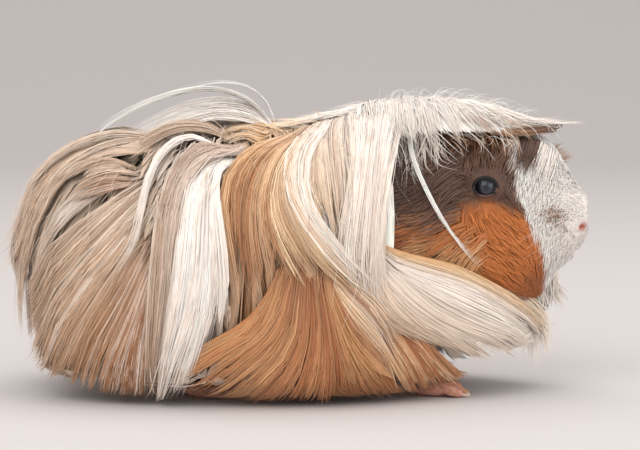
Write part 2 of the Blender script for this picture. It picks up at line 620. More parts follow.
ARCH = ([([(-30, 107), (-39, 111), (-46, 113), (-53, 112), (-60, 108), (-65, 101), (-68, 92), (-69.5, 81), (-72, 69), (-79, 58),
           (-88, 48)], hues((240, 226, 214), (238, 226, 216), (226, 208, 192))),
         ([(-30, 106), (-39, 109.5), (-46, 111.5), (-52, 110.5), (-58, 106.5), (-63, 100), (-66, 92), (-68, 81), (-70.5, 69),
           (-77.5, 58), (-87, 48)], hues((240, 226, 214), (238, 226, 216), (226, 208, 192)))], 3, 28, 3.6)
SNOW = ([([(-33, 110), (-38, 108), (-43, 105), (-49, 100), (-51.5, 90), (-53, 76), (-55, 59), (-57, 42), (-60, 22), (-65, 2.5)],
          hues((242, 232, 223), (240, 230, 222), (226, 206, 190))),
         ([(-27, 108), (-34, 106.5), (-40, 103), (-43, 96), (-43.5, 84), (-44, 68), (-45, 51), (-49, 34), (-56, 18), (-66, 2.5)],
          hues((246, 237, 229), (246, 238, 231), (232, 216, 204))),
         ([(-22, 105), (-29, 104), (-34.5, 101), (-37.5, 95), (-37, 84), (-35, 68), (-33, 51), (-34, 39), (-40, 26)],
          hues((246, 237, 229), (242, 232, 223), (234, 220, 208)))], 13, 34, 3.4)
GOLDEN = ([([(-6, 113), (-19, 110), (-29, 104), (-35, 95), (-36.5, 85), (-34, 74), (-31, 59), (-29, 47), (-30, 34)],
            hues((234, 206, 176), (220, 170, 116), (176, 112, 66))),
           ([(-4, 113), (-15, 107), (-24, 97), (-26.5, 84), (-27, 72), (-25, 57), (-24, 43)],
            hues((232, 202, 170), (196, 138, 90), (160, 96, 54))),
           ([(-2, 113), (-11, 106), (-17, 94), (-19, 82), (-17, 70), (-14, 57), (-10, 45)],
            hues((230, 200, 168), (190, 140, 96), (172, 108, 64))),
           ([(-1, 113), (-7, 106), (-12, 96), (-13, 86), (-9, 74), (-1, 63), (8, 51)],
            hues((232, 204, 178), (212, 174, 138), (200, 144, 96))),
           ([(0, 113), (-2, 108), (-7, 98), (-7, 88), (-1, 77), (8, 64), (19, 54), (28, 47)],
            hues((236, 214, 194), (230, 206, 182), (226, 190, 144)))], 27, 25, 2.2)
WEDGE = ([([(3, 115), (1, 104), (1, 92), (5, 81), (12, 66)], hues((236, 216, 198), (224, 198, 174), (224, 192, 156))),
          ([(9, 116), (9, 105), (11, 90), (13, 78), (17, 62)], hues((238, 220, 204), (228, 206, 184), (222, 194, 166))),
          ([(20, 116), (21, 105), (21, 90), (20, 77), (22, 60)], hues((240, 224, 210), (234, 216, 200), (236, 218, 202)))], 13, 20, 1.6)
SWATHE = ([([(1, 115), (-6, 109), (-9, 100), (-8, 90), (-3, 80), (4, 70), (13, 59), (22, 51), (31, 45)],
            hues((232, 206, 180), (214, 180, 148), (226, 190, 148))),
           ([(4, 115), (-2, 109), (-5, 101), (-5, 91), (-1, 82), (6, 72), (15, 61), (24, 53), (32, 47)],
            hues((240, 226, 214), (238, 222, 210), (238, 220, 204))),
           ([(7, 115), (1, 109), (-2, 101), (-2, 92), (1, 83), (8, 73), (18, 62), (26, 54), (34, 48)],
            hues((240, 226, 214), (230, 210, 192), (240, 224, 210))),
           ([(9, 115), (4, 108), (1.5, 101), (1, 92), (4, 83), (10, 74), (20, 63), (28, 55), (36, 48)],
            hues((240, 226, 214), (240, 226, 214), (240, 224, 210)))], 11, 21, 2.7)
FRINGE = ([([(-11, 61), (-15, 51), (-24, 39), (-38, 31), (-51, 25), (-62, 22)], hues((182, 116, 66), (206, 138, 84), (218, 160, 108))),
           ([(-9, 62), (-13, 50), (-21, 34), (-36, 25), (-49, 17), (-60, 13)], hues((160, 98, 54), (188, 118, 68), (204, 140, 90))),
           ([(-5, 64), (-8, 52), (-13, 36), (-26, 24), (-40, 14), (-52, 8)], hues((152, 96, 60), (200, 142, 96), (212, 158, 112))),
           ([(-2, 65), (-4, 53), (-6, 37), (-16, 22), (-31, 11), (-44, 4)], hues((138, 88, 58), (202, 146, 102), (214, 162, 118))),
           ([(0, 66), (-1, 54), (-1, 37), (-6, 21), (-18, 9), (-32, 2)], hues((142, 92, 62), (196, 138, 96), (208, 152, 106))),
           ([(2, 66), (2, 54), (3, 37), (1, 21), (-4, 9), (-12, 2)], hues((138, 88, 58), (188, 128, 86), (198, 138, 94))),
           ([(5, 65), (5, 53), (7, 35), (7, 19), (5, 8), (3, 2)], hues((128, 80, 52), (182, 120, 78), (202, 144, 98))),
           ([(7, 64), (8, 52), (11, 35), (14, 20), (15, 11), (17, 3)], hues((148, 98, 64), (164, 108, 70), (156, 100, 62))),
           ([(9, 63), (11, 52), (17, 37), (23, 27), (34, 18), (44, 13)], hues((190, 138, 92), (202, 148, 98), (212, 158, 106))),
           ([(10, 62), (13, 53), (21, 43), (28, 35), (33, 27), (36, 19)], hues((228, 200, 164), (236, 214, 186), (238, 220, 202))),
           ([(13, 63), (19, 55), (28, 46), (34, 38), (38, 29), (41, 20)], hues((230, 204, 172), (226, 200, 174), (214, 184, 158)))],
          43, 21, 1.6)
UNDER_LEG = ([([(-6, 24), (5, 12), (17, 3)], hues((110, 68, 42), (150, 94, 56), (180, 122, 76))),
              ([(8, 28), (20, 14), (33, 3)], hues((110, 68, 42), (160, 100, 60), (190, 132, 84))),
              ([(22, 32), (34, 15), (48, 3)], hues((134, 82, 50), (184, 120, 72), (206, 148, 98)))], 18, 22, 0.2)
LEG = ([([(22, 50), (29, 30), (37, 14), (44, 4)], hues((170, 110, 66), (196, 134, 84), (206, 150, 104))),
        ([(29, 48), (37, 29), (47, 12), (55, 3)], hues((160, 98, 58), (184, 116, 68), (204, 146, 98))),
        ([(35, 45), (45, 28), (57, 12), (64, 3)], hues((150, 90, 52), (178, 108, 62), (190, 124, 78))),
        ([(40, 42), (52, 27), (66, 13), (76, 5)], hues((160, 100, 60), (196, 130, 80), (206, 146, 100)))], 24, 20, 1.0)
CURTAIN = ([([(20, 120), (20.5, 112), (20, 98), (17, 84), (14.5, 72), (14.5, 62), (19, 52)],
             hues((246, 237, 229), (238, 224, 212), (240, 226, 214))),
            ([(31, 124), (29, 113), (26, 96), (24, 82), (22, 67), (22, 55), (25, 44)],
             hues((246, 237, 229), (240, 226, 215), (232, 214, 200))),
            ([(37, 125), (35, 113), (33, 98), (30, 82), (29, 65), (29, 50), (32, 36)],
             hues((246, 237, 229), (240, 226, 215), (230, 212, 198))),
            ([(41, 125), (39.5, 117), (37, 106), (34.5, 92), (33.5, 78), (32.5, 63), (35, 46), (39, 29)],
             hues((246, 237, 229), (242, 230, 219), (226, 208, 192)))], 17, 28, 2.8)
CHEST = ([([(31, 71), (40, 66), (51, 62), (65, 57), (80, 49), (93, 41), (102, 31), (104, 21)],
           hues((212, 160, 104), (210, 164, 114), (224, 196, 164))),
          ([(31, 70), (40, 64.5), (52, 59.5), (66, 54), (81, 46), (94, 38), (102, 28), (104, 18)],
           hues((224, 184, 138), (222, 186, 144), (230, 206, 180))),
          ([(30, 70), (38, 62), (53, 55), (69, 49), (85, 41), (98, 32), (103, 18)], hues((238, 220, 206), (242, 230, 220), (236, 220, 208))),
          ([(28, 70), (35, 60), (47, 47), (60, 37), (76, 30), (89, 25), (98, 18)], hues((238, 222, 209), (230, 212, 196), (226, 210, 197))),
          ([(27, 69), (32, 58), (40, 46), (53, 35), (70, 25), (86, 16)], hues((236, 218, 204), (220, 200, 181), (214, 196, 180))),
          ([(26, 68), (30, 57), (35, 46), (44, 36), (57, 28), (76, 19)], hues((230, 208, 190), (214, 192, 170), (212, 190, 170))),
          ([(20, 66), (22, 55), (26, 46), (32, 38), (41, 32), (56, 25)], hues((220, 194, 172), (188, 156, 130), (190, 156, 128)))],
         40, 21, 1.4)
SADDLE = ([([(-17, 116), (-26, 117.5), (-34, 117), (-41, 115)], hues((236, 214, 192), (214, 166, 108), (234, 208, 176))),
           ([(-18, 112), (-26, 114), (-33, 113.5), (-40, 111)], hues((230, 196, 154), (204, 150, 94), (228, 196, 156))),
           ([(-20, 109), (-26, 111), (-32, 110), (-37, 107)], hues((232, 200, 160), (210, 160, 104), (236, 214, 188)))], 8, 20, 1.6)


def fan(coat, side, lines, lanes, per, height, second=None, share=0.0, rise=(-5, -0.5, 1, 0.9, 0.4), spine=0.0,
        vary=0.3, width=0.46, stray=0.04, pale=None, stagger=0.16):
    """One sheet of long hair, as lanes side by side, each a few broad ribbons under many fine strands."""
    rows = []
    for line, _ in lines:
        flat = body_form.unroll(line)
        if spine:
            flat = np.concatenate([[[line[0][0] + spine, 1.5 * ROLL]], flat])
        flat[:, 0] += 0 if side == RIGHT else 4
        rows.append(curve_through(flat))
    rows, colours = np.stack(rows), np.stack([colour for _, colour in lines])
    ways = np.diff(rows, axis=1)
    turning = np.abs(np.diff(np.unwrap(np.arctan2(ways[..., 1], ways[..., 0])), axis=1)).sum(axis=1).mean()
    points = int(np.clip(5.8 + turning * 1.9, 5, 10))
    u = (np.arange(lanes) + rng.random(lanes)) / lanes * (len(rows) - 1)
    low = np.minimum(u.astype(int), len(rows) - 2)
    part = (u - low)[:, None, None]
    middle = rows[low] * (1 - part) + rows[low + 1] * part
    gap = np.linalg.norm(rows[low + 1] - rows[low], axis=-1) * (len(rows) - 1) / lanes
    hue = colours[low] * (1 - part) + colours[low + 1] * part
    along = np.gradient(middle, axis=1)
    aside = unit(np.stack([-along[..., 1], along[..., 0]], axis=-1))
    s = np.linspace(0, 1, middle.shape[1])
    middle = middle + aside * (rng.normal(0, 0.6, (lanes, 1)) * s**1.5)[..., None]
    solid = body_form.turn(middle[..., 0], middle[..., 1] / ROLL, side)
    guides = resample(solid, points, 1 - stagger * rng.random(lanes) ** 1.3, stagger * 0.4 * rng.random(lanes))
    facing = body_form.normal(guides)
    if spine:
        rise = (-1.0 - height, 0.2, 1, 0.9, 0.4)
    facing = unit(facing + np.array([0, 0, 1.6]) * ramp(np.abs(guides[..., 1:2]), 16, 3))
    guides = guides + facing * (spread_of(rise, points) + height)[None, :, None]
    want = np.linspace(0, 1, points)
    gap = np.clip(np.stack([np.interp(want, s, row) for row in gap]), 0.6, 9.0)
    place = want * 1.9999
    first = place.astype(int)
    hue = mix(hue[:, first], hue[:, first + 1], np.broadcast_to(place - first, (lanes, points)))
    across = unit(np.cross(unit(np.gradient(guides, axis=1)), facing))
    for shift, sunk in ((-0.35, 0.45), (0.35, 0.75)):
        ribbon = resample(guides + across * (gap * shift)[..., None] - facing * sunk, points, rng.uniform(0.8, 0.97, lanes))
        shape = np.maximum(1 - want**4, 0.0) ** 0.9 * 1.7
        coat.add(ribbon, facing, gap * np.maximum(shape, 0.1), tinted(hue * 0.97, 1, second, share, pale, 0.03), thick=0.08,
                 soft=0.96)
    paths, normals = bundle(guides, facing, per, gap * spread_of((2.0, 2.0, 1.9, 1.4), points), (0.7, 1.1, 1.1, 0.8),
                            vary=vary, wave=0.5, stray=stray)
    coat.add(paths, normals, blade(lanes * per, points, width), tinted(hue, per, second, share, pale), soft=0.9)


def tinted(hue, per, second=None, share=0.0, pale=None, vary=0.06):
    """Colours of strands that follow those of their lane, with some darker strands and some pale ones."""
    lanes, points = hue.shape[:2]
    group = np.repeat(rng.normal(0, 1, (lanes, 1, 1)), per, axis=0)
    hue = np.repeat(hue, per, axis=0)
    if second is not None:
        part = np.clip(share + 0.14 * group + rng.normal(0, 0.18, group.shape), 0, 0.9)
        hue = hue * (1 - part) + second * part
    if pale is not None:
        part = np.clip(0.1 - 0.22 * group + rng.normal(0, 0.2, group.shape), 0, 0.85)
        hue = hue * (1 - part) + pale * part
    light = np.exp(rng.normal(0, vary, group.shape) + 0.04 * np.repeat(rng.normal(0, 1, (lanes, 1, 1)), per, axis=0))
    warm = 1 + rng.normal(0, 0.014, group.shape) * np.array([1.0, 0.0, -1.2])
    s = np.linspace(0, 1, points)[None, :, None]
    return np.clip(hue * light * warm * (0.97 + 0.08 * np.minimum(1, s * 1.6)), 0.004, 0.94)


def lay(coat, form, flat, widths, colour, second, end, height, strands, side, points=9, width=0.62, place=None,
        rise=(-5, -0.5, 1, 0.9, 0.4), fine=2.0, share=0.35, turn=0.55, vary=0.16):
    """One lock laid on a side of a form along a flat line (x, distance round), as narrower bundles side by side."""
    middle = curve_through(flat)
    along = np.gradient(middle, axis=0)
    aside = unit(np.stack([-along[:, 1], along[:, 0]], axis=1))
    s = np.linspace(0, 1, len(middle))
    wide = spread_of(widths, len(middle))
    wisps = max(2, round(max(widths) / fine))
    u = (np.arange(wisps) + 0.5) / wisps - 0.5 + rng.normal(0, 0.05, wisps)
    drift = rng.normal(0, 0.9, (wisps, 1)) * s**1.5
    lanes = middle[None] + aside[None] * (u[:, None] * wide + drift)[..., None]
    guides = resample(form.turn(lanes[..., 0], lanes[..., 1] / ROLL, side), points, rng.uniform(0.88, 1.0, wisps))
    facing = form.normal(guides)
    lift = spread_of(rise, points) + rng.uniform(-0.4, 0.4, (wisps, 1)) + height
    guides = guides + facing * lift[..., None]
    per = max(4, round(strands / wisps))
    narrow = max(widths) / wisps
    paths, normals = bundle(guides, facing, per, (narrow * 1.6, narrow * 2.1, narrow * 1.8, narrow * 0.8),
                            (1.4, 1.8, 1.6, 1), vary=vary, wave=0.35, stray=0.03)
    total = wisps * per
    tints = shades(colour, total, points, 0.05, 0.96, 1.04, second, share, end, turn)
    if place is not None:
        paths, normals = place(paths), place(normals, about=0)
    coat.add(paths, normals, blade(total, points, width), tints, soft=0.9)


# ---- the mane, from the crown forward over the brow ----


def lay_mane(coat, side, locks=58):
    """Locks that leave the crown's parting: the first fall straight over the ear, the others sweep to the brow."""
    for k in range(locks):
        start = 27 + 57 * (k + rng.random()) / locks
        ahead = ramp(start, 38, 70)
        stop = min(start + 4 + 38 * ahead + rng.uniform(-4, 5), 115 - 3 * rng.random())
        low = rng.uniform(-6, 12) * (1 - ahead) + rng.uniform(17, 25) * ahead
        low += 60 * ramp(stop, 104, 115) * rng.random()
        turns = np.radians([88, 70 - 4 * ahead, 42 - 6 * (1 - ahead), low])
        line = np.stack([start + (stop - start) * np.array([0, 0.25, 0.62, 1]), turns * ROLL], axis=1)
        golden = 74 < stop < 108 and low < 30
        end = (GOLD, COPPER, BROWN)[rng.integers(3)] if golden else CREAM
        lay(coat, mane_form, line, (5, 7, 6, 3), WHITE, CREAM, end, rng.uniform(0, 0.9), 24, side, 7, 0.42,
            turned, (-3, 0.2, 0.8, 0.4, 0.2), share=0.3, turn=0.88, vary=0.3)
    for k in range(9):
        x = 80 + 2.4 * k + rng.uniform(-2, 2)
        line = np.array([(x, 0.5 * ROLL), (x + 11, 0.34 * ROLL), (min(x + 24, 112), 0.28 * ROLL)])
        lay(coat, mane_form, line, (4, 4, 2), GOLD, BROWN, BROWN, -0.5, 24, side, 6, 0.36, turned, (-2, 0, 0.2),
            share=0.5, vary=0.35)


def mane_coat(coat, side, count=1700, points=5):
    """The thick white hair of the crown, under the mane's locks."""
    roots = mane_form.scatter(count, (24, 112), (30, 89), side)
    ahead = 0.1 + 1.1 * ramp(roots[:, 0], 38, 74)
    way = np.stack([ahead, np.full(count, side * 0.8), -np.ones(count)], axis=1) + rng.normal(0, 0.06, (count, 3))
    length = rng.uniform(12, 18, count) * (1 - 0.5 * ramp(roots[:, 0], 88, 112))
    paths, up = grow(mane_form, roots, way, length, np.full(count, 1.0), points, rng.normal(-0.3, 0.12, (count, 1)))
    edge = np.interp(paths[:, -1, 0], [36, 44, 52, 60, 92, 112], [96, 102, 110, 114.5, 115.5, 118])
    stop = np.clip((paths[:, 0, 2] - edge) / np.maximum(paths[:, 0, 2] - paths[:, -1, 2], 0.1), 0.15, 1)
    paths = resample(paths, points, stop * rng.uniform(0.85, 1.0, count))
    low = ramp(roots[:, 2], 119.5, 116.5) * ramp(roots[:, 0], 62, 72)
    tint = mix(np.broadcast_to(WHITE, roots.shape), mix(np.broadcast_to(GOLD, roots.shape), BROWN, rng.random(count)), low * 0.7)
    coat.add(turned(paths), turned(up, about=0), blade(count, points, 0.85), shades(tint, count, points, 0.03, 0.98, 1.03), soft=0.97)


def grow(form, roots, way, length, depth, points, loft):
    """Short hairs that leave the skin, a depth under a form, and lie down over it along a way."""
    n = form.normal(roots)
    way = unit(way - n * (way * n).sum(-1, keepdims=True))
    s = np.linspace(0, 1, points)
    p = form.settle(roots[:, None] + way[:, None] * (length[:, None] * s)[..., None], rounds=2)
    up = form.normal(p)
    return p + up * (-depth[:, None] * (1 - s) ** 1.6 + loft * s**1.5)[..., None], up


# ---- the head's short coat ----

# How the coat lies on the side of the head: x, z, then the way it points, and its length.
HEAD_LIE = [
    (112, 104, -0.35, -1, 9), (104, 112, -0.1, -1, 16), (96, 110, -0.3, -1, 16), (90, 102, -0.3, -1, 7),
    (82, 108, 0.0, -1, 8), (66, 107, -0.3, -0.9, 10), (50, 104, -0.6, -0.7, 12), (70, 92, -1, -0.1, 6),
    (56, 86, -1, -0.15, 9), (44, 80, -1, -0.2, 12), (88, 82, 0.7, -0.7, 6), (76, 81, 0.3, -0.9, 6),
    (66, 80, -0.5, -0.7, 8), (56, 72, -0.8, -0.5, 12), (46, 70, -0.9, -0.4, 13), (80, 70, 0.85, -0.55, 9),
    (94, 70, 0.75, -0.65, 8), (70, 62, 0.85, -0.5, 13), (90, 58, 0.75, -0.65, 12), (99, 52, 0.6, -0.8, 11),
    (60, 60, 0.5, -0.8, 14), (46, 62, -0.3, -0.9, 14), (106, 92, -0.4, -0.8, 6), (116, 96, -0.7, -0.5, 4),
    (108, 80, -0.6, -0.6, 5), (120, 86, -0.9, 0.1, 3), (114, 70, -0.6, -0.7, 4), (109, 60, -0.2, -0.95, 6),
    (121, 75, -0.9, 0.3, 1.8), (120, 68, -0.8, -0.5, 2.2), (104, 70, 0.0, -1, 7), (103, 54, 0.1, -1, 9),
    (80, 42, 0.6, -0.6, 12),
]


def head_lie(p, side):
    table = np.array(HEAD_LIE, float)
    apart = (p[:, None, 0] - table[:, 0]) ** 2 + (p[:, None, 2] - table[:, 1]) ** 2
    weight = 1 / (apart + 6) ** 2
    weight /= weight.sum(axis=1, keepdims=True)
    way = weight @ table[:, 2:4]
    length = weight @ table[:, 4]
    way = np.stack([way[:, 0], side * 0.55 * ramp(p[:, 0], 108, 122), way[:, 1]], axis=1)
    eye = np.stack([p[:, 0] - EYE_SEEN[0], np.zeros(len(p)), p[:, 2] - EYE_SEEN[1]], axis=1)
    near = np.exp(-((np.linalg.norm(eye, axis=1, keepdims=True) / 8.5) ** 4))
    return unit(unit(way) * (1 - near) + unit(eye + np.array([-2, 0, -2])) * near), length * (1 - 0.5 * near[:, 0])


def bare(p):
    """Where the head has no hair: the eye's opening, the nostrils and the mouth."""
    x, y, z = p[..., 0], np.abs(p[..., 1]), p[..., 2]
    eye = np.hypot((x - EYE_SEEN[0] - 0.3) / 5.5, (z - EYE_SEEN[1]) / 4.7) < 1
    nostril = (x > 118) & (np.hypot((y - 9.0) / 2.5, (z - 73.4) / 2.1) < 1)
    mouth = (x > 110) & (y < 7) & (np.abs(z - 62.2 + 0.05 * y**2) < 1.1)
    return eye | nostril | mouth


def head_coat(coat, side, count, x_range, points, width, reach=1.0, soft=0.85):
    roots = head_form.scatter(count, x_range, (-88, 89), side)
    roots = roots[~bare(roots)]
    count = len(roots)
    way, length = head_lie(roots, side)
    n = head_form.normal(roots)
    tuft = wobble(roots, 2.6, 5.0)[:, None] * 0.2 + rng.normal(0, 0.13, (count, 1))
    way = way + np.cross(n, way) * tuft
    length = length * reach * rng.uniform(0.7, 1.2, count)
    depth = np.minimum(np.interp(roots[:, 0], *zip(*HEAD_DEPTH)) * 0.75, length * 0.5)
    loft = rng.normal(0, 0.25, (count, 1)) + 0.2 + 0.25 * wobble(roots, 3.2, 9.0)[:, None]
    paths, up = grow(head_form, roots, way, length, depth, points, loft)
    up = unit(up + np.array([0.2, side * 1.2, 0]) * ramp(roots[:, 2], 54, 46)[:, None, None])
    tints = shades(head_marking(roots), count, points, 0.08, 0.92, 1.05)
    wide = blade(count, points, width) * np.minimum(1, 0.6 + length / 18)[:, None]
    coat.add(turned(paths), turned(up, about=0), wide, tints, thick=0.3, soft=soft)


def eye_ring_coat(coat, side, count=540):
    """The shortest hair, which stands round the lids and points away from the eye."""
    a = rng.random(count) * 2 * np.pi
    out = 1 + 0.62 * rng.random(count) ** 0.8
    x, z = EYE_SEEN[0] + 0.3 + 5.3 * out * np.cos(a), EYE_SEEN[1] + 4.5 * out * np.sin(a)
    y = abs(turned(EYE_MIDDLE[side], back=True)[1])
    swell = np.sqrt(np.maximum(1 - ((x - EYE_SEEN[0]) / 9.4) ** 2 - ((z - EYE_SEEN[1]) / 8.2) ** 2, 0.01)) * 4.5 - 0.5
    root = np.stack([x, side * (y + swell), z], axis=-1)
    n = unit(np.stack([(x - EYE_SEEN[0]) * 0.09, np.full(count, side * 1.0), (z - EYE_SEEN[1]) * 0.1], axis=-1))
    way = np.stack([np.cos(a) - 0.35, np.zeros(count), np.sin(a) * 0.9 - 0.1], axis=-1) + rng.normal(0, 0.15, (count, 3))
    way = unit(way - n * (way * n).sum(-1, keepdims=True))
    s = np.linspace(0, 1, 4)
    length = rng.uniform(1.8, 3.4, count)
    paths = root[:, None] + way[:, None] * (length[:, None] * s)[..., None] + n[:, None] * (0.7 * s - 0.45 * s**2)[None, :, None]
    tints = shades(head_marking(root), count, 4, 0.1, 0.8, 1.0)
    facing = np.repeat(n[:, None], 4, axis=1)
    coat.add(turned(paths), turned(facing, about=0), blade(count, 4, 0.26), tints, soft=0.8)


def specks(coat, side, count=170):
    """Dark hairs of the whisker bed, in uneven rows behind the nostril."""
    x = np.clip(rng.normal(110.5, 3.6, count), 102, 118)
    z = 78 - 0.45 * (x - 110) + np.round(rng.normal(0, 1.7, count)) * 1.9 + rng.normal(0, 0.5, count)
    z = np.where(rng.random(count) < 0.3, rng.normal(80.5, 1.2, count), z)
    root = beside_muzzle(x, z, side)
    n = head_form.normal(root)
    way = np.tile([-0.7, 0.0, -0.6], (count, 1)) + rng.normal(0, 0.2, (count, 3))
    way = unit(way - n * (way * n).sum(-1, keepdims=True))
    s = np.linspace(0, 1, 3)
    length = rng.uniform(0.7, 1.5, count)
    paths = root[:, None] + way[:, None] * (length[:, None] * s)[..., None] + n[:, None] * (0.35 + 0.25 * s)[None, :, None]
    facing = np.repeat(n[:, None], 3, axis=1)
    coat.add(turned(paths), turned(facing, about=0), blade(count, 3, 0.42), shades(CHESTNUT, count, 3, 0.15, 1.0, 1.0, BROWN, 0.4),
             soft=0.9)


def beside_muzzle(x, z, side):
    """Points of the head's form at x and z."""
    flat = head_form.unroll(np.stack([x, z], axis=1))
    return head_form.turn(flat[:, 0], flat[:, 1] / ROLL, side)


def brow_strands(coat, side, count=46):
    """Long hairs that hang from under the forelock down in front of the brow."""
    for k in range(count):
        x = 97 + 15 * (k + rng.random()) / count
        z = np.interp(x, [97, 104, 112], [114.5, 112, 106])
        drop = rng.uniform(12, 21)
        line = head_form.unroll([(x, z), (x - 2.5, z - drop * 0.45), (x - 6 + rng.uniform(-1, 1), z - drop)])
        dark = x < 104.5
        lay(coat, head_form, line, (1.6, 1.8, 1.2), BROWN if dark else WHITE, DARK if dark else CREAM, None, 0.4, 8, side,
            6, 0.3, turned, (-0.8, 0.4, 0.6, 0.3), fine=0.9, vary=0.35)


# ---- loose locks ----


def free_lock(coat, line, spread, depth, strands, colour, second, up=(0, 0, 1), points=10, width=0.5, vary=0.3,
              wave=0.8, stray=0.06, share=0.35, soft=0.4, root=0.97):
    guide = resample(curve_through(line, 60)[None], points)
    facing = np.broadcast_to(unit(np.array(up, float)), guide.shape)
    paths, normals = bundle(guide, facing, strands, spread, depth, vary, wave, stray)
    tints = shades(colour, strands, points, 0.06, root, 1.04, second, share)
    coat.add(paths, normals, blade(strands, points, width), tints, soft=soft)


# Arcs of the crest that stand over the back: points of the path, widths, depths, strands and colours.
CREST = [
    ([(-13, -4, 115), (-15, -5, 123), (-19, -6, 130), (-26, -7, 135), (-36, -8, 136.8), (-47, -9, 135.4), (-60, -9, 131.5)],
     (2, 1.6, 1.4, 1.4, 1), (1, 1, 1), 22),
    ([(-14, -4, 114), (-18, -5, 122), (-25, -6, 129), (-37, -7, 133.6), (-50, -8, 133.6), (-64, -9, 130), (-78, -10, 124),
      (-89, -11, 117), (-96, -12, 110)], (5, 3.4, 2.6, 2.2, 1.4), (3, 2, 1.6, 1.4, 1), 100),
]
# Fine hair spread between two arcs, an upper and a lower: strands, evenness and colours.
VEILS = [
    ([(-13, -2, 114), (-18, -2, 122), (-26, -2, 127.6), (-38, -2, 129.4), (-52, -2, 127.4), (-67, -2, 121), (-80, -2, 114),
      (-90, -2, 107)],
     [(-13, -10, 113), (-20, -12, 118), (-30, -14, 121), (-42, -15, 121.4), (-54, -16, 118), (-66, -17, 113), (-74, -18, 109),
      (-82, -19, 104)], 240, WHITE, CREAM),
    ([(-12, 8, 114), (-18, 9, 121), (-28, 10, 125), (-42, 11, 125), (-56, 12, 120), (-70, 13, 113), (-80, 14, 107)],
     [(-12, 18, 112), (-20, 20, 116), (-32, 22, 118), (-44, 23, 117), (-56, 24, 113), (-66, 25, 108), (-76, 26, 102)],
     150, WHITE, CREAM),
    ([(-34, -14, 114), (-42, -16, 119.5), (-54, -18, 121.4), (-64, -20, 119), (-74, -22, 113), (-82, -24, 106)],
     [(-34, -20, 112), (-43, -23, 115), (-54, -26, 115.6), (-64, -29, 112), (-72, -32, 106), (-80, -34, 99)], 180, BEIGE, UMBER),
    ([(-6, -8, 114), (-16, -10, 118), (-26, -12, 119), (-36, -14, 116.6), (-42, -16, 112)],
     [(-6, -16, 112), (-16, -18, 115), (-26, -20, 115), (-34, -22, 112), (-40, -24, 108)], 130, PALE_GOLD, GOLD),
]


def crest(coat):
    for line, spread, depth, strands in CREST:
        free_lock(coat, line, spread, depth, strands, WHITE, WHITE, width=0.34, vary=0.4, wave=1.0, stray=0.1, root=1.0)
    for upper, lower, count, colour, second in VEILS:
        upper, lower = curve_through(upper, 50), curve_through(lower, 50)
        s = np.linspace(0, 1, 50)
        group = rng.random(max(3, count // 14))[rng.integers(max(3, count // 14), size=count)]
        part = np.clip(group + rng.normal(0, 0.09, count), 0, 1)[:, None] ** 1.2
        part = np.clip(part + (rng.normal(0, 0.16, (count, 1)) * s) + 0.03 * np.sin(7 * s + 6 * rng.random((count, 1))), -0.15, 1.1)
        paths = upper * (1 - part[..., None]) + lower * part[..., None]
        paths[..., 1] += rng.normal(0, 1.5, (count, 1))
        paths = resample(paths, 10, rng.uniform(0.62, 1.0, count))
        up = np.broadcast_to(unit(np.array([0, -0.3, 1.0])), paths.shape)
        coat.add(paths, up, blade(count, 10, 0.34), shades(colour, count, 10, 0.06, 0.98, 1.03, second, 0.3), soft=0.5)


def beside_head(line, out, side):
    """Points (x, z) beside the head and the neck, out from them by so much."""
    pts = np.array(line, float)
    angle = np.arctan2(pts[:, 1] - 70, 26)
    out_head = np.abs(head_form.turn(pts[:, 0], angle, side)[:, 1])
    neck = skin_form.unroll(pts)
    out_neck = np.abs(skin_form.turn(neck[:, 0], neck[:, 1] / ROLL, side)[:, 1])
    return turned(np.stack([pts[:, 0], side * (np.maximum(out_head, out_neck) + np.array(out)), pts[:, 1]], axis=1))


def cheek_sweep(coat, side, count=310):
    """The cheek's longer hair, swept back over the neck and the ear's edge to the curtain."""
    for _ in range(count):
        z = rng.uniform(58, 106)
        x = 54 + (18 + 12 * ramp(z, 80, 72) * ramp(z, 56, 62)) * rng.random() ** 1.5
        back = rng.uniform(16, 24) + 0.3 * max(0.0, x - 62)
        drop = rng.uniform(1, 4) + 5 * ramp(z, 84, 96) + 3 * ramp(z, 66, 60) + 15 * ramp(x, 60, 82)
        back -= 9 * ramp(x, 66, 82)
        line = [(x, z), (x - back * 0.33, z - drop * 0.2), (x - back * 0.66, z - drop * 0.6), (max(34, x - back), z - drop)]
        path = beside_head(line, (-1.5, 0.9, 2.4 + rng.uniform(0, 1.5), rng.uniform(4, 7)), side)
        high = z + rng.normal(0, 1.2)
        colour, second = ((BROWN, DARK) if high > 84 else (BROWN, COPPER) if high > 78 else (ORANGE, COPPER) if high > 70
                          else (GOLD, ORANGE) if high > 64 or x > 60 else (PALE_GOLD, GOLD))
        free_lock(coat, path, (3.2, 3.4, 3.0, 2.4), (1, 1.2, 1), 5, colour, second, up=(0.2, side, 0.1), points=5, vary=0.5,
                  wave=0.6, width=0.4, soft=0.88, root=0.95, share=0.3)


def neck_ruff(coat, side, count=100):
    """Hair round the back of the cheek that spreads out to the inside of the curtain."""
    for _ in range(count):
        z, x, back = rng.uniform(48, 110), rng.uniform(43, 54), rng.uniform(14, 20)
        line = np.array([(x, z), (x - back * 0.4, z - 1), (x - back * 0.75, z - 3), (x - back, z - 5)])
        near = np.abs(beside_head(line, np.zeros(4), side)[:, 1])
        flat = body_form.unroll(line)
        room = np.maximum(np.abs(body_form.turn(flat[:, 0], flat[:, 1] / ROLL, side)[:, 1]) - near, 0)
        path = beside_head(line, room * (0, 0.3, 0.55, 0.75) - (2, 0, 0, 0), side)
        colour, second = ((BROWN, DARK) if z > 84 else (BROWN, RUST) if z > 76 else (RUST, ORANGE) if z > 64
                          else (COPPER, GOLD))
        free_lock(coat, path, (3, 5, 6, 6), (1, 2, 2), 4, colour, second, up=(1, side * 0.4, 0.2), points=5, vary=0.4,
                  wave=0.6, width=0.8, soft=0.9, share=0.3)


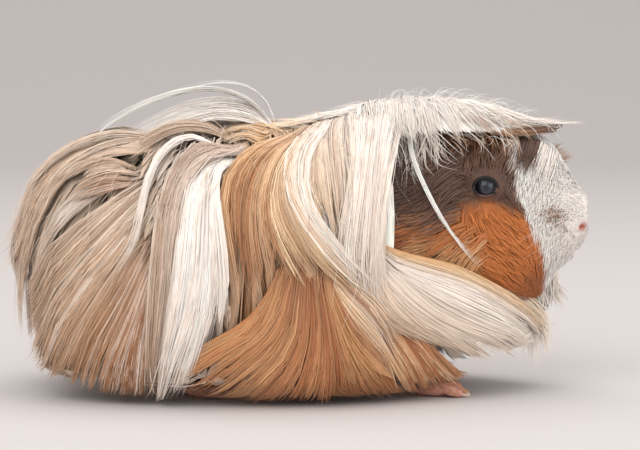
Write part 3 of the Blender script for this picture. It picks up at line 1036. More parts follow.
def wisps(coat):
    line = [(45, 125), (47, 116), (49, 106), (56, 90), (65, 74), (72, 65), (80, 56)]
    for shift, strands, spread in ((0, 18, (2.6, 1.6, 1.0, 0.6, 0.5)), (0.3, 7, (2.4, 1.6, 1.0, 1.2, 2.4)),
                                   (-0.3, 6, (2.4, 1.8, 1.2, 1.8, 3.4))):
        pts = [(x + shift * 0.5, z + shift) for x, z in line]
        free_lock(coat, beside_head(pts, (2, 4, 6, 6, 5, 4, 3), RIGHT), spread, (1.0, 0.8, 0.6, 0.4), strands, WHITE * 1.08,
                  WHITE, up=(0.3, RIGHT, 0.6), points=11, vary=0.55, wave=0.6, stray=0.05, width=0.28, root=1.0, soft=0.8)
    for side, _ in SIDES:
        for _ in range(64):
            x, z = rng.uniform(36, 58), rng.uniform(112, 122)
            drop = rng.uniform(12, 34) * (1 - 0.4 * (x > 50))
            bend = rng.normal(4, 3)
            line = [(x, z), (x + bend * 0.1 + 1, z - drop * 0.35), (x + bend * 0.5, z - drop * 0.75), (x + bend * 1.2, z - drop)]
            path = beside_head(line, (0, 2.5, 3.5, 3 + rng.uniform(-2, 2)), side)
            free_lock(coat, path, (1.6, 1.4, 1.6, 2.0), (1, 1, 1), 3, WHITE, CREAM, up=(0, side, 0), points=7,
                      vary=0.35, wave=0.8, stray=0.15, width=0.24)
        for _ in range(26):
            x, z = rng.uniform(56, 98), rng.uniform(112, 117)
            drop, hook = rng.uniform(2, 12), rng.uniform(0, 8)
            line = [(x, z), (x + hook * 0.7, z - drop * 0.3), (x + hook, z - drop * 0.7), (x + hook * 0.9, z - drop)]
            path = beside_head(line, (-1, 1.5, 1.6, 0.8), side)
            free_lock(coat, path, (1.0, 1.0, 1.2), (0.6, 0.6), 2, CREAM, GOLD, up=(0, side, 0), points=6, vary=0.3,
                      wave=0.4, width=0.2)
        for _ in range(10):
            x, z = rng.uniform(102, 109), rng.uniform(50, 56)
            low = rng.uniform(8, 16)
            line = [(x, z), (x + 2, z - low * 0.4), (x + 5, z - low * 0.8), (x + rng.uniform(6, 10), z - low - 4)]
            pts = [(px, side * rng.uniform(1, 6), pz) for px, pz in line]
            free_lock(coat, pts, (1.2, 1.0, 1.2), (1, 1, 1), 5, PALE_GOLD, GOLD, up=(0, side, 0), points=7, width=0.24)
        for _ in range(15):  # whiskers
            x, z = rng.uniform(109, 119), rng.uniform(70, 81)
            root = head_form.turn(np.array(x), np.arctan2(z - 73, 16), side) - np.array([0, side, 0])
            way = np.array([-rng.uniform(0.3, 0.9), side, rng.uniform(-0.5, 0.1)]) * rng.uniform(12, 20)
            line = np.array([root + way * t + np.array([-4, 0, -3]) * t * t for t in (0, 0.4, 0.7, 1)])
            free_lock(coat, turned(line), (0.1, 0.1), (0.1, 0.1), 1, WHITE, CREAM, points=8, width=0.15, wave=0.1,
                      stray=0)


def forelock(coat):
    """The peak that stands forward over the nose, pale above and brown below."""
    for k in range(13):
        y = -9 + 1.5 * k + rng.uniform(-0.5, 0.5)
        reach, rise = rng.uniform(112, 125.5), rng.uniform(-0.8, 1.0)
        line = np.array([(84, y, 121.5), (96, y * 0.8, 120.4), (106, y * 0.55, 118.8), (reach, y * 0.28, 118.8 + rise)])
        free_lock(coat, turned(line), (5, 4, 2.6, 1.2), (1.4, 1.4, 1, 0.4), 20, WHITE, CREAM, points=8, vary=0.3,
                  wave=0.6, width=0.32, soft=0.5)
    for k in range(9):
        y = -9 + 2.25 * k
        line = np.array([(92, y, 113.5), (101, y * 0.8, 115), (108, y * 0.5, 116.4), (rng.uniform(111, 116), y * 0.3, 117.8)])
        free_lock(coat, turned(line), (5, 4, 2.4, 1), (1.4, 1.2, 1, 0.4), 16, BROWN, GOLD, points=7, vary=0.35,
                  width=0.32, soft=0.5, share=0.35)


def brow_tuft(coat):
    """The brown tufts of the left side that stand out past the line of the face."""
    for x, z in ((118, 104), (116, 107), (114, 109), (118, 101.5), (116.5, 98.5), (119, 103), (117, 105.5), (115, 103)):
        line = np.array([(104, 9, z - 4), (109, 12.5, z - 2.4), (x - 3, 15, z - 0.8), (x, 17, z + rng.uniform(-0.5, 1.5))])
        free_lock(coat, turned(line), (4, 4, 3.4, 2.4), (2, 2, 1), 22, COPPER, BROWN, up=(1, 0.3, 1), points=6, vary=0.5,
                  width=0.3, soft=0.5)


def beard(coat, side, count=52):
    """White hair that hangs from the chin and the jaw into the chest."""
    for _ in range(count):
        x = rng.uniform(86, 111)
        y = side * rng.uniform(0, 1) * np.interp(x, [86, 100, 111], [15, 12, 5])
        z = np.interp(x, [86, 100, 111], [42, 45, 55])
        drop = rng.uniform(9, 17)
        line = np.array([(x, y, z + 3), (x + 0.6, y, z - drop * 0.4), (x + rng.uniform(0, 2), y, z - drop * 0.75),
                         (x + rng.uniform(0, 4), y * 0.9, z - drop)])
        free_lock(coat, turned(line), (3.4, 3.4, 2.6, 1.6), (2, 2, 1.4), 10, WHITE, CREAM, up=(0.3, side, 0.2), points=5,
                  vary=0.4, width=0.4, soft=0.5)


def chest_tips(coat, side):
    """Soft ends of the chest's hair that curl down under the chin."""
    for k in range(16):
        t = (k + rng.random()) / 16
        x, z = 88 + 8 * t, 34 + 9 * t
        line = [(x - 14, side * (24 - 3 * t), z + 7), (x, side * (19 - 2 * t), z), (x + 9, side * 15, z - 8),
                (x + 14 + rng.uniform(-3, 2), side * 11, z - rng.uniform(18, 28))]
        free_lock(coat, line, (5, 5, 4, 3), (2, 2, 1.5), 14, CREAM, PALE_GOLD if t > 0.7 else WHITE, up=(0.2, side, 0.3),
                  points=7, vary=0.45, wave=1.0, width=0.42, soft=0.9, root=0.98)


def back_hair(coat, count=150):
    """Hair along the spine, where the two sides part, lying backwards."""
    for _ in range(count):
        x = rng.uniform(-52, 36)
        y = rng.uniform(-9, 9)
        back, side = rng.uniform(16, 28), y * 0.4 + rng.normal(0, 1.5)
        xs = np.array([x, x - back * 0.25, x - back * 0.6, x - back])
        top = np.interp(xs, [row[0] for row in COAT_BODY], [row[1] for row in COAT_BODY]) - 0.014 * y * y
        zs = top + np.array([-2.0, 0.6, 0.9, 0.2])
        line = list(zip(xs, y + side * np.array([0, 0.2, 0.6, 1.0]), zs))
        colour, second = (WHITE, CREAM) if x > 12 else (PALE_GOLD, CREAM) if x > -20 else (CREAM, BEIGE)
        free_lock(coat, line, (3.4, 4.2, 3.4, 2.4), (0.8, 1, 0.6), 6, colour, second, up=(0, -0.3, 1), points=6, vary=0.5,
                  width=0.4, soft=0.94, root=1.0, wave=0.4)


def rear_fall(coat, locks=28):
    """Locks down the middle of the rump, between the hair of the two sides."""
    line = np.array([(-60, 112), (-82, 111), (-100, 105), (-112, 94), (-119, 79), (-122, 61), (-121, 42), (-117, 24), (-112, 6)])
    share = np.linspace(0, 1, len(line))
    for k in range(locks):
        across = -32 + 64 * (k + rng.random()) / locks
        deep = rng.uniform(0, 4) + 0.006 * across**2
        ys = across * (0.2 + 0.8 * share**0.7)
        path = np.stack([line[:, 0] + deep * share, ys, line[:, 1] - 0.006 * ys**2 * (1 - share) + rng.uniform(-1, 3) * share], axis=1)
        colour, second = (BEIGE, UMBER) if k % 3 else (TAN, UMBER)
        free_lock(coat, path, (4.5, 5, 5, 4.5, 4), (2, 2, 2, 2), 24, colour, second, up=(-1, 0.02 * across, 0.5), points=9,
                  vary=0.35, width=0.95, soft=0.85, root=0.95)


def rear_sprays(coat):
    """Thin locks that curve out past the rump."""
    for side, reach in ((RIGHT, 1.0), (LEFT, 0.6)):
        for k, (rise, far) in enumerate(((0, 0), (-4, -3), (3, -6), (-9, -5))):
            y = side * (10 + 5 * k)
            line = [(-64, y * 0.6, 112), (-84, y, 114 + rise * 0.3), (-104, y * 1.1, 107 + rise * 0.6),
                    (-119, y * 1.1, 92 + rise), (-128 - far * reach * 0.5, y * 1.0, 76 + rise),
                    (-131 - 3 * reach + far * 0.4, y * 0.9, 58 + rise)]
            free_lock(coat, line, (4, 5, 5, 4, 3), (3, 3, 3, 2), 36, BEIGE, CREAM, up=(0, side * 0.4, 1), width=0.42,
                      points=11)


def loose_hairs(coat, side, count=130):
    """Single hairs that stand a little off the coat along the back and the crown."""
    for form, x_range, turns, place, lengths in ((body_form, (-122, 36), (30, 89), None, (18, 46)),
                                                  (mane_form, (30, 100), (20, 89), turned, (8, 24))):
        roots = form.scatter(count, x_range, turns, side)
        swing = rng.normal(0.4 if place else 0, 0.4, count)
        guides, normals = fall(form, roots, side, rng.uniform(*lengths, count), np.zeros(count), swing,
                               np.full(count, 4.0), 8, steps=12)
        s = np.linspace(0, 1, 8)
        lift = 2.5 + rng.uniform(0.8, 5, (count, 1)) * np.sin(np.pi * s * rng.uniform(0.5, 0.95, (count, 1)))
        guides = guides + normals * (lift * np.minimum(1, s * 4))[..., None]
        tints = shades(WHITE if place else body_marking(roots), count, 8, 0.06, 1.0, 1.05)
        if place:
            guides, normals = place(guides), place(normals, about=0)
        coat.add(guides, normals, blade(count, 8, 0.24), tints, soft=0.2)


# ---- materials ----


def principled(name, roughness, colour=None, **settings):
    material = bpy.data.materials.new(name)
    material.use_nodes = True
    nodes = material.node_tree.nodes
    shader = nodes["Principled BSDF"]
    shader.inputs["Roughness"].default_value = roughness
    if colour is not None:
        shader.inputs["Base Color"].default_value = (*colour, 1)
    for key, value in settings.items():
        shader.inputs[key.replace("_", " ")].default_value = value
    return material, nodes, material.node_tree.links, shader


def grain(nodes, links, source, scale, detail, low, high, stretch=None):
    """Uneven values between low and high, over a map or a place."""
    if stretch is not None:
        mapping = nodes.new("ShaderNodeMapping")
        mapping.inputs["Scale"].default_value = stretch
        links.new(source, mapping.inputs["Vector"])
        source = mapping.outputs["Vector"]
    node = nodes.new("ShaderNodeTexNoise")
    node.inputs["Scale"].default_value = scale
    node.inputs["Detail"].default_value = detail
    links.new(source, node.inputs["Vector"])
    spread = nodes.new("ShaderNodeMapRange")
    spread.inputs["From Min"].default_value = 0.3
    spread.inputs["From Max"].default_value = 0.7
    spread.inputs["To Min"].default_value = low
    spread.inputs["To Max"].default_value = high
    links.new(node.outputs["Fac"], spread.inputs["Value"])
    return spread.outputs["Result"]


def painted(nodes, links, shader, value):
    """The piece's own colours, times a value."""
    tint = nodes.new("ShaderNodeAttribute")
    tint.attribute_name = "Coat"
    blend = nodes.new("ShaderNodeMix")
    blend.data_type, blend.blend_type = "RGBA", "MULTIPLY"
    blend.inputs["Factor"].default_value = 1.0
    links.new(tint.outputs["Color"], blend.inputs["A"])
    links.new(value, blend.inputs["B"])
    links.new(blend.outputs["Result"], shader.inputs["Base Color"])


def bumpy(nodes, links, shader, height, strength, distance):
    bump = nodes.new("ShaderNodeBump")
    bump.inputs["Strength"].default_value = strength
    bump.inputs["Distance"].default_value = distance
    links.new(height, bump.inputs["Height"])
    links.new(bump.outputs["Normal"], shader.inputs["Normal"])


def hair_material():
    material, nodes, links, shader = principled("silky_hair", 0.48, Specular_IOR_Level=0.32, Sheen_Weight=0.2)
    shader.inputs["Sheen Roughness"].default_value = 0.5
    streak = nodes.new("ShaderNodeUVMap")
    streak.uv_map = "Streak"
    strands = grain(nodes, links, streak.outputs["UV"], 1.5, 3.0, 0.84, 1.1, (1, 0.02, 1))
    painted(nodes, links, shader, strands)
    links.new(grain(nodes, links, streak.outputs["UV"], 2.0, 1.0, 0.4, 0.58, (1, 0.1, 1)), shader.inputs["Roughness"])
    bumpy(nodes, links, shader, strands, 0.35, 0.00012)
    return material


def skin_material():
    material, nodes, links, shader = principled("furred_skin", 0.62, Specular_IOR_Level=0.35)
    place = nodes.new("ShaderNodeTexCoord").outputs["Object"]
    painted(nodes, links, shader, grain(nodes, links, place, 900.0, 3.0, 0.82, 1.12))
    bumpy(nodes, links, shader, grain(nodes, links, place, 1400.0, 4.0, 0.0, 1.0), 0.5, 0.0003)
    return material


def eye_material():
    material, nodes, links, shader = principled("eye", 0.14, Specular_IOR_Level=0.25, Coat_Weight=0.15)
    shader.inputs["Coat Roughness"].default_value = 0.05
    tint = nodes.new("ShaderNodeAttribute")
    tint.attribute_name = "Coat"
    links.new(tint.outputs["Color"], shader.inputs["Base Color"])
    return material


def claw_material():
    material, nodes, links, shader = principled("claw", 0.32, Specular_IOR_Level=0.5)
    place = nodes.new("ShaderNodeTexCoord").outputs["Object"]
    painted(nodes, links, shader, grain(nodes, links, place, 600.0, 3.0, 0.8, 1.1))
    bumpy(nodes, links, shader, grain(nodes, links, place, 900.0, 2.0, 0.0, 1.0, (0.2, 1, 1)), 0.25, 0.0002)
    return material


HAIR, SKIN, EYE, CLAW = hair_material(), skin_material(), eye_material(), claw_material()

# ---- skin ----


def shaped(bm, form, rounds, rings, place=None):
    """A sphere shaped to a lofted form."""
    made = bmesh.ops.create_uvsphere(bm, u_segments=rounds, v_segments=rings, radius=1)["verts"]
    co = np.array([v.co for v in made])
    x = form.x[0] + 0.3 + (form.x[-1] - form.x[0] - 0.6) * (co[:, 2] + 1) / 2
    out = form.turn(x, np.arctan2(co[:, 1], np.abs(co[:, 0])), 1)
    out[:, 1] *= np.sign(co[:, 0]) * (np.abs(co[:, 2]) < 0.9999)
    out[:, 2] = np.where(np.abs(co[:, 2]) < 0.9999, out[:, 2], form.at(x)[1])
    if place is not None:
        out = place(out)
    for vert, where in zip(made, out):
        vert.co = where


def blob(bm, radii, place, turn=(0, 0, 0), rounds=20, rings=14):
    made = bmesh.ops.create_uvsphere(bm, u_segments=rounds, v_segments=rings, radius=1)["verts"]
    matrix = Matrix.Translation(place) @ Euler(turn).to_matrix().to_4x4() @ Matrix.Diagonal((*radii, 1))
    bmesh.ops.transform(bm, matrix=matrix, verts=made)
    return made


def finish_mesh(bm, name):
    """The bmesh, in millimetres on the tables' frame, as an object in metres on the model's."""
    bmesh.ops.recalc_face_normals(bm, faces=bm.faces)
    for face in bm.faces:
        face.smooth = True
    bmesh.ops.translate(bm, vec=Vector(SHIFT), verts=bm.verts)
    bmesh.ops.scale(bm, vec=(MM,) * 3, verts=bm.verts)
    mesh = bpy.data.meshes.new(name)
    bm.to_mesh(mesh)
    bm.free()
    piece = bpy.data.objects.new(name, mesh)
    bpy.context.collection.objects.link(piece)
    return piece


def points_of(mesh):
    co = np.empty(len(mesh.vertices) * 3)
    mesh.vertices.foreach_get("co", co)
    return co.reshape(-1, 3) / MM - SHIFT


def paint(mesh, tints):
    layer = mesh.color_attributes.new("Coat", "FLOAT_COLOR", "POINT")
    layer.data.foreach_set("color", np.concatenate([tints, np.ones((len(tints), 1))], axis=1).ravel())


def bake_map(mesh, points):
    """A map of the piece by place round and along the body."""
    corners = np.empty(len(mesh.loops), np.int32)
    mesh.loops.foreach_get("vertex_index", corners)
    flat = np.stack([points[:, 0], np.arctan2(points[:, 1], points[:, 2] - 50) * ROLL], axis=-1)
    flat = 0.01 + 0.98 * (flat - flat.min(0)) / (flat.max(0) - flat.min(0))
    mesh.uv_layers.new(name="OFBake").data.foreach_set("uv", flat[corners].ravel())


def own_piece(piece, material, tints, slot, *nodes):
    paint(piece.data, tints)
    piece.data.materials.append(material)
    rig.ride(piece, "root")
    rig.slot(piece, slot)
    if nodes:
        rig.replaces(piece, *nodes)
    print("PIECE", piece.name, len(piece.data.polygons), round(time.time() - T0, 1))


def toe_places(foot, side):
    spacing = foot["width"] / foot["toes"]
    for i in range(foot["toes"]):
        across = (i - (foot["toes"] - 1) / 2) * spacing
        reach = foot["length"] * 0.46 - 0.32 * abs(across)
        yield foot["x"] + reach, side * foot["y"] + across * 1.15, spacing


def leg_skin(bm, foot, side):
    y = side * foot["y"]
    ankle = Vector((foot["x"] - foot["length"] * 0.28, y, foot["height"] * 0.6))
    knee = Vector((foot["knee"][0], side * foot["knee"][1], foot["knee"][2]))
    rise = knee - ankle
    lean = math.atan2(rise.x, rise.z)
    blob(bm, (foot["width"] * 0.5, foot["width"] * 0.46, rise.length / 2 + 6), (ankle + knee) / 2, (0, lean, 0))
    sole = foot["height"] * 0.5
    blob(bm, (foot["length"] / 2, foot["width"] / 2 - 0.3, sole), (foot["x"], y, sole + 0.1))
    for x, toe_y, spacing in toe_places(foot, side):
        blob(bm, (3.4, spacing * 0.5, 2.5), (x - 1.6, toe_y, 2.9), (0, 0.3, 0), 16, 10)
        blob(bm, (2.6, spacing * 0.46, 2.0), (x + 1.6, toe_y, 2.1), (0, 0.2, 0), 16, 10)
        blob(bm, (1.9, spacing * 0.4, 1.1), (x + 0.9, toe_y, 1.15), (0, 0, 0), 12, 8)


def head_skin_form():
    table = np.array(COAT_HEAD, float)
    depth = np.interp(table[:, 0], *zip(*HEAD_DEPTH))
    table[:, 1] -= depth
    table[:, 3] += depth
    table[:, 4] = np.maximum(table[:, 4] - depth, 1.2)
    table[-1, 0] -= 0.5
    return Form(table, 2.2, 2.4)


def ear_point(x, z, out, side):
    """A place on the ear, by shares of its width and height and the distance out from its middle sheet."""
    turn = Euler((side * math.radians(EAR["tip"]), math.radians(EAR["sweep"]), side * math.radians(EAR["splay"])))
    narrow = 1 - 0.16 * max(z, 0)
    cup = side * EAR["dish"] * (min(1, x * x + z * z) - 1)
    fold = side * 1.6 * max(0, x - 0.55) * (1 + z)
    place = Vector((x * EAR["width"] / 2 * narrow, out + cup - fold, z * EAR["height"] / 2))
    return turn.to_matrix() @ place + Vector(turned(np.array([EAR["x"], side * EAR["y"], EAR["z"]], float)))


def ear_coat(coat, side, count=420):
    """Sparse down on the outer face of the ear."""
    a, r = rng.random(count) * 2 * np.pi, np.sqrt(rng.random(count)) * 0.92
    root, tip = (np.array([ear_point(r[i] * math.cos(a[i]) - back * 0.12, r[i] * math.sin(a[i]) - back * 0.1,
                                     side * (0.7 + back * 0.7), side) for i in range(count)]) for back in (0, 1))
    way = tip - root
    s = np.linspace(0, 1, 4)
    way = way * rng.uniform(0.8, 1.6, (count, 1))
    paths = root[:, None] + way[:, None] * s[None, :, None]
    facing = np.broadcast_to(np.array([0.1, side, 0.1]), paths.shape)
    coat.add(paths, unit(facing), blade(count, 4, 0.22), shades(UMBER, count, 4, 0.15, 0.9, 1.1, BROWN, 0.4))


def add_ear(bm, side):
    """A thin petal, cupped outwards, with a rolled front edge."""
    made = bmesh.ops.create_uvsphere(bm, u_segments=40, v_segments=26, radius=1)["verts"]
    for vert in made:
        x, y, z = vert.co
        rim = min(1, x * x + z * z)
        vert.co = ear_point(x, z, y * (0.75 - 0.25 * rim), side)


def add_lids(bm, side):
    """A rim of lid round the eye's opening, drawn out to the tear corner in front and below."""
    ring = bmesh.ops.create_circle(bm, segments=10, radius=0.16, matrix=Matrix.Translation((1, 0, 0)) @ Matrix.Rotation(math.pi / 2, 4, "X"))
    geom = ring["verts"] + list({e for v in ring["verts"] for e in v.link_edges})
    bmesh.ops.spin(bm, geom=geom, cent=(0, 0, 0), axis=(0, 0, 1), angle=2 * math.pi, steps=48, use_merge=True)
    made = [v for v in bm.verts if not v.tag]
    for vert in made:
        a = math.atan2(vert.co.y, vert.co.x)
        off = math.hypot(vert.co.x, vert.co.y) - 1
        corner = math.exp(-(((a + 0.42) / 0.32) ** 2))
        back = math.exp(-(((abs(a) - math.pi) / 0.4) ** 2))
        wide = (4.9, 4.2)[0] * math.cos(a) * (1 + 0.2 * corner + 0.05 * back)
        tall = (4.15 if a > 0 else 3.9) * math.sin(a) * (1 + 0.15 * corner)
        out = math.sqrt(max(6.0**2 - wide**2 - tall**2, 4.0))
        thick = 5.4 if a > 0 else 4.2
        vert.co = (wide + off * thick * math.cos(a), side * (out + vert.co.z * 3.6), tall + off * thick * math.sin(a))
    turn = Matrix.Rotation(HEAD_TURN, 4, "Z")
    bmesh.ops.transform(bm, matrix=Matrix.Translation(EYE_MIDDLE[side]) @ turn, verts=made)
    for vert in bm.verts:
        vert.tag = True


head_skin = head_skin_form()


def make_skin():
    bm = bmesh.new()
    shaped(bm, skin_form, 64, 48)
    shaped(bm, head_skin, 72, 64, turned)
    for side, _ in SIDES:
        mound = EYE_MIDDLE[side] - np.array([0, side * 0.2, 0])
        blob(bm, (9.4, 4.5, 8.2), mound, (0, 0, HEAD_TURN), 32, 20)
        for foot in (FRONT_FOOT, HIND_FOOT):
            leg_skin(bm, foot, side)
    piece = finish_mesh(bm, "skin")
    fuse = piece.modifiers.new("fuse", "REMESH")
    fuse.mode, fuse.voxel_size = "VOXEL", 1.08 * MM
    soften = piece.modifiers.new("soften", "SMOOTH")
    soften.factor, soften.iterations = 0.5, 3
    fused = bpy.data.meshes.new_from_object(piece.evaluated_get(bpy.context.evaluated_depsgraph_get()))
    piece.modifiers.clear()
    points = points_of(fused)
    normals = np.empty(len(points) * 3)
    fused.vertex_normals.foreach_get("vector", normals)
    normals = normals.reshape(-1, 3)
    h = turned(points, back=True)
    x, y, z = h.T
    nostril = np.exp(-(((x - 123) / 3) ** 2 + ((np.abs(y) - 8.6) / 1.8) ** 2 + ((z - 73.4) / 1.5) ** 2))
    groove = np.exp(-((y / 0.9) ** 2)) * ramp(x, 116, 120) * ramp(z, 74, 71) * ramp(z, 60, 63)
    mouth = np.exp(-(((z - 62.2 + 0.05 * y**2) / 0.9) ** 2)) * ramp(x, 106, 112) * ramp(np.abs(y), 9, 6.5)
    points -= normals * (nostril * 2.2 + groove * 0.9 + mouth * 1.6)[:, None]
    fused.vertices.foreach_set("co", ((points + SHIFT) * MM).ravel())
    on_head = ramp(points[:, 0], 46, 56) * ramp(points[:, 2], 36, 44)
    tint = mix(body_marking(points) * 0.8, head_marking(h) * 0.85, on_head)
    tint = mix(tint, np.broadcast_to(tone(176, 84, 74), tint.shape), np.clip(nostril * 1.8, 0, 0.95))
    pad = np.exp(-(((x - 124) / 4) ** 2 + (y / 5) ** 2 + ((z - 71) / 4.5) ** 2))
    tint = mix(tint, np.broadcast_to(PINK, tint.shape), pad * 0.35)
    tint = mix(tint, np.broadcast_to(tone(196, 120, 108), tint.shape), np.clip(mouth, 0, 0.7))
    foot = ramp(points[:, 2], 16, 9) * (np.abs(points[:, 1]) > 14)
    tint = mix(tint, np.broadcast_to(PINK * 0.9 + COPPER * 0.1, tint.shape), foot)

    extra = bmesh.new()
    for side, _ in SIDES:
        add_lids(extra, side)
    lids = len(extra.verts)
    for side, _ in SIDES:
        add_ear(extra, side)
    bm = bmesh.new()
    bm.from_mesh(fused)
    side_piece = finish_mesh(extra, "lids_and_ears")
    bm.from_mesh(side_piece.data)
    whole = len(bm.verts) - len(points)
    bpy.data.objects.remove(side_piece)
    bmesh.ops.recalc_face_normals(bm, faces=bm.faces)
    for face in bm.faces:
        face.smooth = True
    bm.to_mesh(piece.data)
    bm.free()
    every = points_of(piece.data)
    more = np.empty((whole, 3))
    lid_z = every[len(points):len(points) + lids, 2] - EYE_MIDDLE[RIGHT][2]
    more[:lids] = mix(np.broadcast_to(tone(98, 66, 60), (lids, 3)), np.broadcast_to(tone(28, 23, 26), (lids, 3)), ramp(lid_z, -3.8, -2.4))
    more[lids:] = EAR_SKIN
    tint = np.concatenate([tint, more])
    bake_map(piece.data, every)
    own_piece(piece, SKIN, tint, "beige_coat", "rump", "trunk", "shoulders", "chest", "neck", "head", "muzzle",
              "mane", "forelock", "leg_front_right", "leg_front_left", "leg_hind_right", "leg_hind_left",
              "ear_right", "ear_left")
    return piece


def make_eye(side, name):
    bm = bmesh.new()
    blob(bm, (EYE_RADIUS,) * 3, (0, 0, 0), (math.pi / 2, 0, 0), 64, 44)
    for vert in bm.verts:
        if vert.co.y * side > 3.2:  # the clear front bulges a little
            vert.co.y += side * 0.35 * ((vert.co.y * side - 3.2) / 2.6) ** 2
    bmesh.ops.transform(bm, matrix=Matrix.Translation(EYE_MIDDLE[side]) @ Matrix.Rotation(HEAD_TURN, 4, "Z"), verts=bm.verts)
    piece = finish_mesh(bm, f"eyeball_{name}")
    off = turned(points_of(piece.data) - EYE_MIDDLE[side], back=True, about=0)
    away = np.hypot(off[:, 0] - 0.4, off[:, 2] + 0.2)
    pupil = np.hypot(off[:, 0] - 0.4, off[:, 2] + 0.2)
    tints = mix(np.broadcast_to(tone(34, 34, 40), off.shape), np.broadcast_to(tone(52, 54, 62), off.shape), ramp(pupil, 0.6, 1.8))
    tints = mix(tints, np.broadcast_to(tone(14, 17, 24), off.shape), ramp(away, 2.3, 2.9))
    tints = mix(tints, np.broadcast_to(tone(5, 6, 10), off.shape), ramp(away, 3.2, 4.0))
    own_piece(piece, EYE, tints, "eye", f"eye_{name}")


def make_claws():
    bm = bmesh.new()
    for side, _ in SIDES:
        for foot in (FRONT_FOOT, HIND_FOOT):
            for x, y, _ in toe_places(foot, side):
                made = bmesh.ops.create_uvsphere(bm, u_segments=12, v_segments=12, radius=1)["verts"]
                for vert in made:
                    t = (vert.co.z + 1) / 2
                    slim = 1 - 0.75 * t**1.5
                    bend = -1.1 * t * t
                    vert.co = (x + 1.8 + t * (foot["claw"] + 1.6), y + vert.co.y * 0.85 * slim, 1.75 + vert.co.x * 0.95 * slim + bend)
    piece = finish_mesh(bm, "claws")
    co = points_of(piece.data)
    tints = mix(np.broadcast_to(tone(196, 160, 142), co.shape), np.broadcast_to(tone(226, 208, 190), co.shape), ramp(co[:, 2], 1.8, 0.8))
    own_piece(piece, CLAW, tints, "foot")


def foot_coat(coat, skin, count=5200):
    """Short hair that grows on the feet towards the toes."""
    mesh = skin.data
    mesh.calc_loop_triangles()
    tris = np.empty(len(mesh.loop_triangles) * 3, np.int32)
    mesh.loop_triangles.foreach_get("vertices", tris)
    corners = points_of(mesh)[tris.reshape(-1, 3)]
    middle = corners.mean(axis=1)
    cross = np.cross(corners[:, 1] - corners[:, 0], corners[:, 2] - corners[:, 0])
    area = np.linalg.norm(cross, axis=1)
    low = (middle[:, 2] < 26) & (middle[:, 2] > 2.2) & (np.abs(middle[:, 1]) > 13) & (cross[:, 2] > -0.2 * area)
    near = np.zeros(len(middle), bool)
    for foot in (FRONT_FOOT, HIND_FOOT):
        near |= np.hypot(middle[:, 0] - foot["x"], (np.abs(middle[:, 1]) - foot["y"]) * 1.6) < foot["length"] * 0.72
    share = area * (low & near)
    pick = rng.choice(len(share), count, p=share / share.sum())
    a, b = rng.random((2, count, 1))
    over = (a + b > 1)
    a, b = np.where(over, 1 - a, a), np.where(over, 1 - b, b)
    c = corners[pick]
    root = c[:, 0] + (c[:, 1] - c[:, 0]) * a + (c[:, 2] - c[:, 0]) * b
    n = unit(cross[pick])
    way = np.array([1.0, 0, -0.75]) + rng.normal(0, 0.2, (count, 3))
    way = unit(way - n * (way * n).sum(-1, keepdims=True))
    length = np.interp(root[:, 2], [2, 8, 26], [2.2, 4.5, 9]) * rng.uniform(0.7, 1.2, count)
    s = np.linspace(0, 1, 4)
    lift = -0.6 + 1.5 * s**0.8 - 0.4 * s**3
    paths = root[:, None] + way[:, None] * (length[:, None] * s)[..., None] + n[:, None] * lift[None, :, None]
    facing = np.repeat(n[:, None], 4, axis=1)
    tint = mix(np.broadcast_to(COPPER, root.shape), np.broadcast_to(RUST, root.shape), ramp(root[:, 2], 4, 18) * 0.6)
    coat.add(paths, facing, blade(count, 4, 0.45), shades(tint, count, 4, 0.12, 0.85, 1.1))


skin = make_skin()
for side, name in SIDES:
    make_eye(side, name)
make_claws()

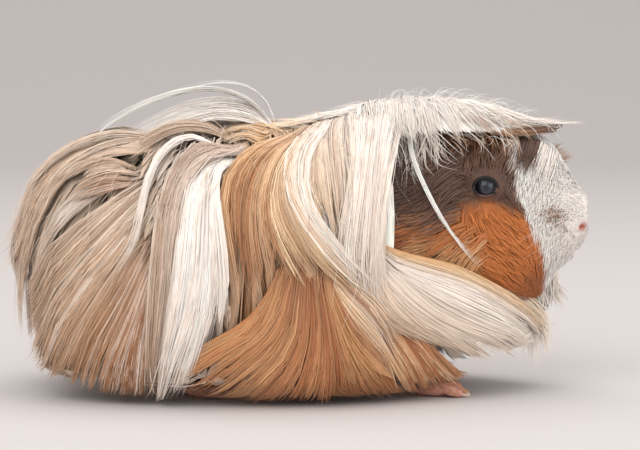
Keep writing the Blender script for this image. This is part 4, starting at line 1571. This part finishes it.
# ---- the coat's pieces ----
for side, name in SIDES:
    under = Coat(f"undercoat_{name}", "beige_coat")
    base_coat(under, side, 220, 3, (-124, 34), (8, 89), (60, 115))
    base_coat(under, side, 100, 3, (-122, 66), (-14, 20), (14, 24))
    base_coat(under, side, 140, 5, (-66, -6), (46, 89), (16, 30), heights=(0.0, 2.0), ribbon=3.4, width=0.55)
    base_coat(under, side, 60, 4, (-6, 34), (66, 89), (16, 30), heights=(-0.5, 0.5), ribbon=4.0, width=0.55)
    base_coat(under, side, 100, 3, (40, 103), (-10, 66), (22, 40), heights=(-2.5, -0.5))
    loose_hairs(under, side)
    under.build(HAIR)
    rump = Coat(f"coat_rump_{name}", "beige_coat")
    fan(rump, side, *LOOPS, second=UMBER, share=0.12, spine=4, pale=CREAM)
    fan(rump, side, *HOLLOW, second=BEIGE, share=0.2)
    fan(rump, side, *REAR, second=CHESTNUT, share=0.2, pale=CREAM)
    fan(rump, side, *TUFTS, second=UMBER, share=0.2, vary=0.5, pale=CREAM, stagger=0.4)
    rump.build(HAIR)
    flank = Coat(f"coat_flank_{name}", "tan_coat")
    fan(flank, side, *FRINGE, second=RUST, share=0.26, pale=GOLD, stagger=0.2)
    fan(flank, side, *BAND, second=UMBER, share=0.32, pale=CREAM, spine=4)
    fan(flank, side, *SNOW, second=BEIGE, share=0.05, stray=0.02)
    fan(flank, side, *ARCH, vary=0.5)
    fan(flank, side, *GOLDEN, second=CHESTNUT, share=0.12, spine=5, pale=PALE_GOLD, stagger=0.22)
    fan(flank, side, *SADDLE, second=COPPER, share=0.15, vary=0.4, stagger=0.2, spine=3, pale=CREAM)
    flank.build(HAIR)
    shoulder = Coat(f"coat_shoulder_{name}", "white_coat")
    fan(shoulder, side, *UNDER_LEG, second=CHESTNUT, share=0.3)
    fan(shoulder, side, *LEG, second=CHESTNUT, share=0.3, pale=PALE_GOLD, stagger=0.35, vary=0.45)
    fan(shoulder, side, *CHEST, second=BEIGE, share=0.14)
    fan(shoulder, side, *WEDGE, second=UMBER, share=0.1, spine=2)
    fan(shoulder, side, *SWATHE, second=TAN, share=0.12, spine=3, pale=WHITE, stray=0.02)
    fan(shoulder, side, *CURTAIN, second=BEIGE, share=0.1, spine=1, stray=0.02)
    shoulder.build(HAIR)
    head = Coat(f"coat_head_{name}", "orange_coat")
    head_coat(head, side, 3000, (44, 95), 5, 0.42, soft=0.9)
    head_coat(head, side, 3400, (93, 125.6), 4, 0.38, 0.72, soft=0.95)
    eye_ring_coat(head, side)
    specks(head, side)
    cheek_sweep(head, side)
    brow_strands(head, side)
    ear_coat(head, side)
    head.build(HAIR)
    crown = Coat(f"coat_crown_{name}", "white_coat")
    lay_mane(crown, side)
    mane_coat(crown, side)
    beard(crown, side)
    chest_tips(crown, side)
    neck_ruff(crown, side)
    crown.build(HAIR)
ends = Coat("crest_and_wisps", "white_coat")
crest(ends)
back_hair(ends)
rear_fall(ends)
wisps(ends)
forelock(ends)
brow_tuft(ends)
rear_sprays(ends)
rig.replaces(ends.build(HAIR), "crest_lock_long", "crest_lock_short")
feet = Coat("coat_feet", "foot")
foot_coat(feet, skin, 1700)
feet.build(HAIR)

# ---- camera, floor and light ----
VIEW_TILT = math.radians(5)
VIEW_TARGET = Vector((6.2 + SHIFT[0], -28.0, 75.5)) * MM
VIEW_DISTANCE = 1.05
VIEW_SCALE = 2415 / 640  # the focal length in picture widths

camera_data = bpy.data.cameras.new("camera")
camera_data.sensor_width = 36
camera_data.lens = 36 * VIEW_SCALE
camera = bpy.data.objects.new("camera", camera_data)
bpy.context.collection.objects.link(camera)
camera.rotation_euler = (math.pi / 2 - VIEW_TILT, 0, 0)
camera.location = VIEW_TARGET - Vector((0, math.cos(VIEW_TILT), -math.sin(VIEW_TILT))) * VIEW_DISTANCE
bpy.context.scene.camera = camera


def paper_sweep():
    """A sheet of paper that lies on the floor and curves up behind."""
    bm = bmesh.new()
    bmesh.ops.create_grid(bm, x_segments=2, y_segments=120, size=5.0)
    start, bend = 1.6, 1.8
    for vert in bm.verts:
        past = vert.co.y - start
        if past > 0:
            angle = min(past / bend, math.pi / 2)
            vert.co.y = start + bend * math.sin(angle)
            vert.co.z = bend * (1 - math.cos(angle)) + max(0, past - bend * math.pi / 2)
    for face in bm.faces:
        face.smooth = True
    mesh = bpy.data.meshes.new("paper")
    bm.to_mesh(mesh)
    bm.free()
    floor = bpy.data.objects.new("paper", mesh)
    bpy.context.collection.objects.link(floor)
    material, nodes, links, shader = principled("paper", 0.9, (0.60, 0.565, 0.55), Specular_IOR_Level=0.2)
    place = nodes.new("ShaderNodeTexCoord").outputs["Object"]
    bumpy(nodes, links, shader, grain(nodes, links, place, 300.0, 3.0, 0.0, 1.0), 0.03, 0.001)
    mesh.materials.append(material)
    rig.stage(floor)


def softbox(name, place, target, size, power, colour=(1, 1, 1)):
    data = bpy.data.lights.new(name, "AREA")
    data.shape = "RECTANGLE"
    data.size, data.size_y = size
    data.energy = power
    data.color = colour
    lamp = bpy.data.objects.new(name, data)
    bpy.context.collection.objects.link(lamp)
    lamp.location = place
    lamp.rotation_euler = (Vector(target) - Vector(place)).to_track_quat("-Z", "Y").to_euler()


paper_sweep()
softbox("key", (-0.6, -1.3, 1.3), (0, 0, 0.06), (1.6, 1.4), 17)
softbox("top", (0.1, 0.3, 1.7), (0, 0, 0.06), (1.6, 1.2), 12)
softbox("fill", (1.3, -1.0, 0.5), (0, 0, 0.06), (1.2, 1.0), 8)

world = bpy.data.worlds.new("studio")
world.use_nodes = True
world.node_tree.nodes["Background"].inputs["Color"].default_value = (0.97, 0.95, 0.94, 1)
world.node_tree.nodes["Background"].inputs["Strength"].default_value = 0.78
bpy.context.scene.world = world
bpy.context.scene.view_settings.view_transform = "Standard"

with open("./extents.json", "w") as out:
    json.dump({"cad": [list(map(float, v)) for v in CAD_BOX], "visual": [list(map(float, v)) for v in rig.bounds()]}, out)
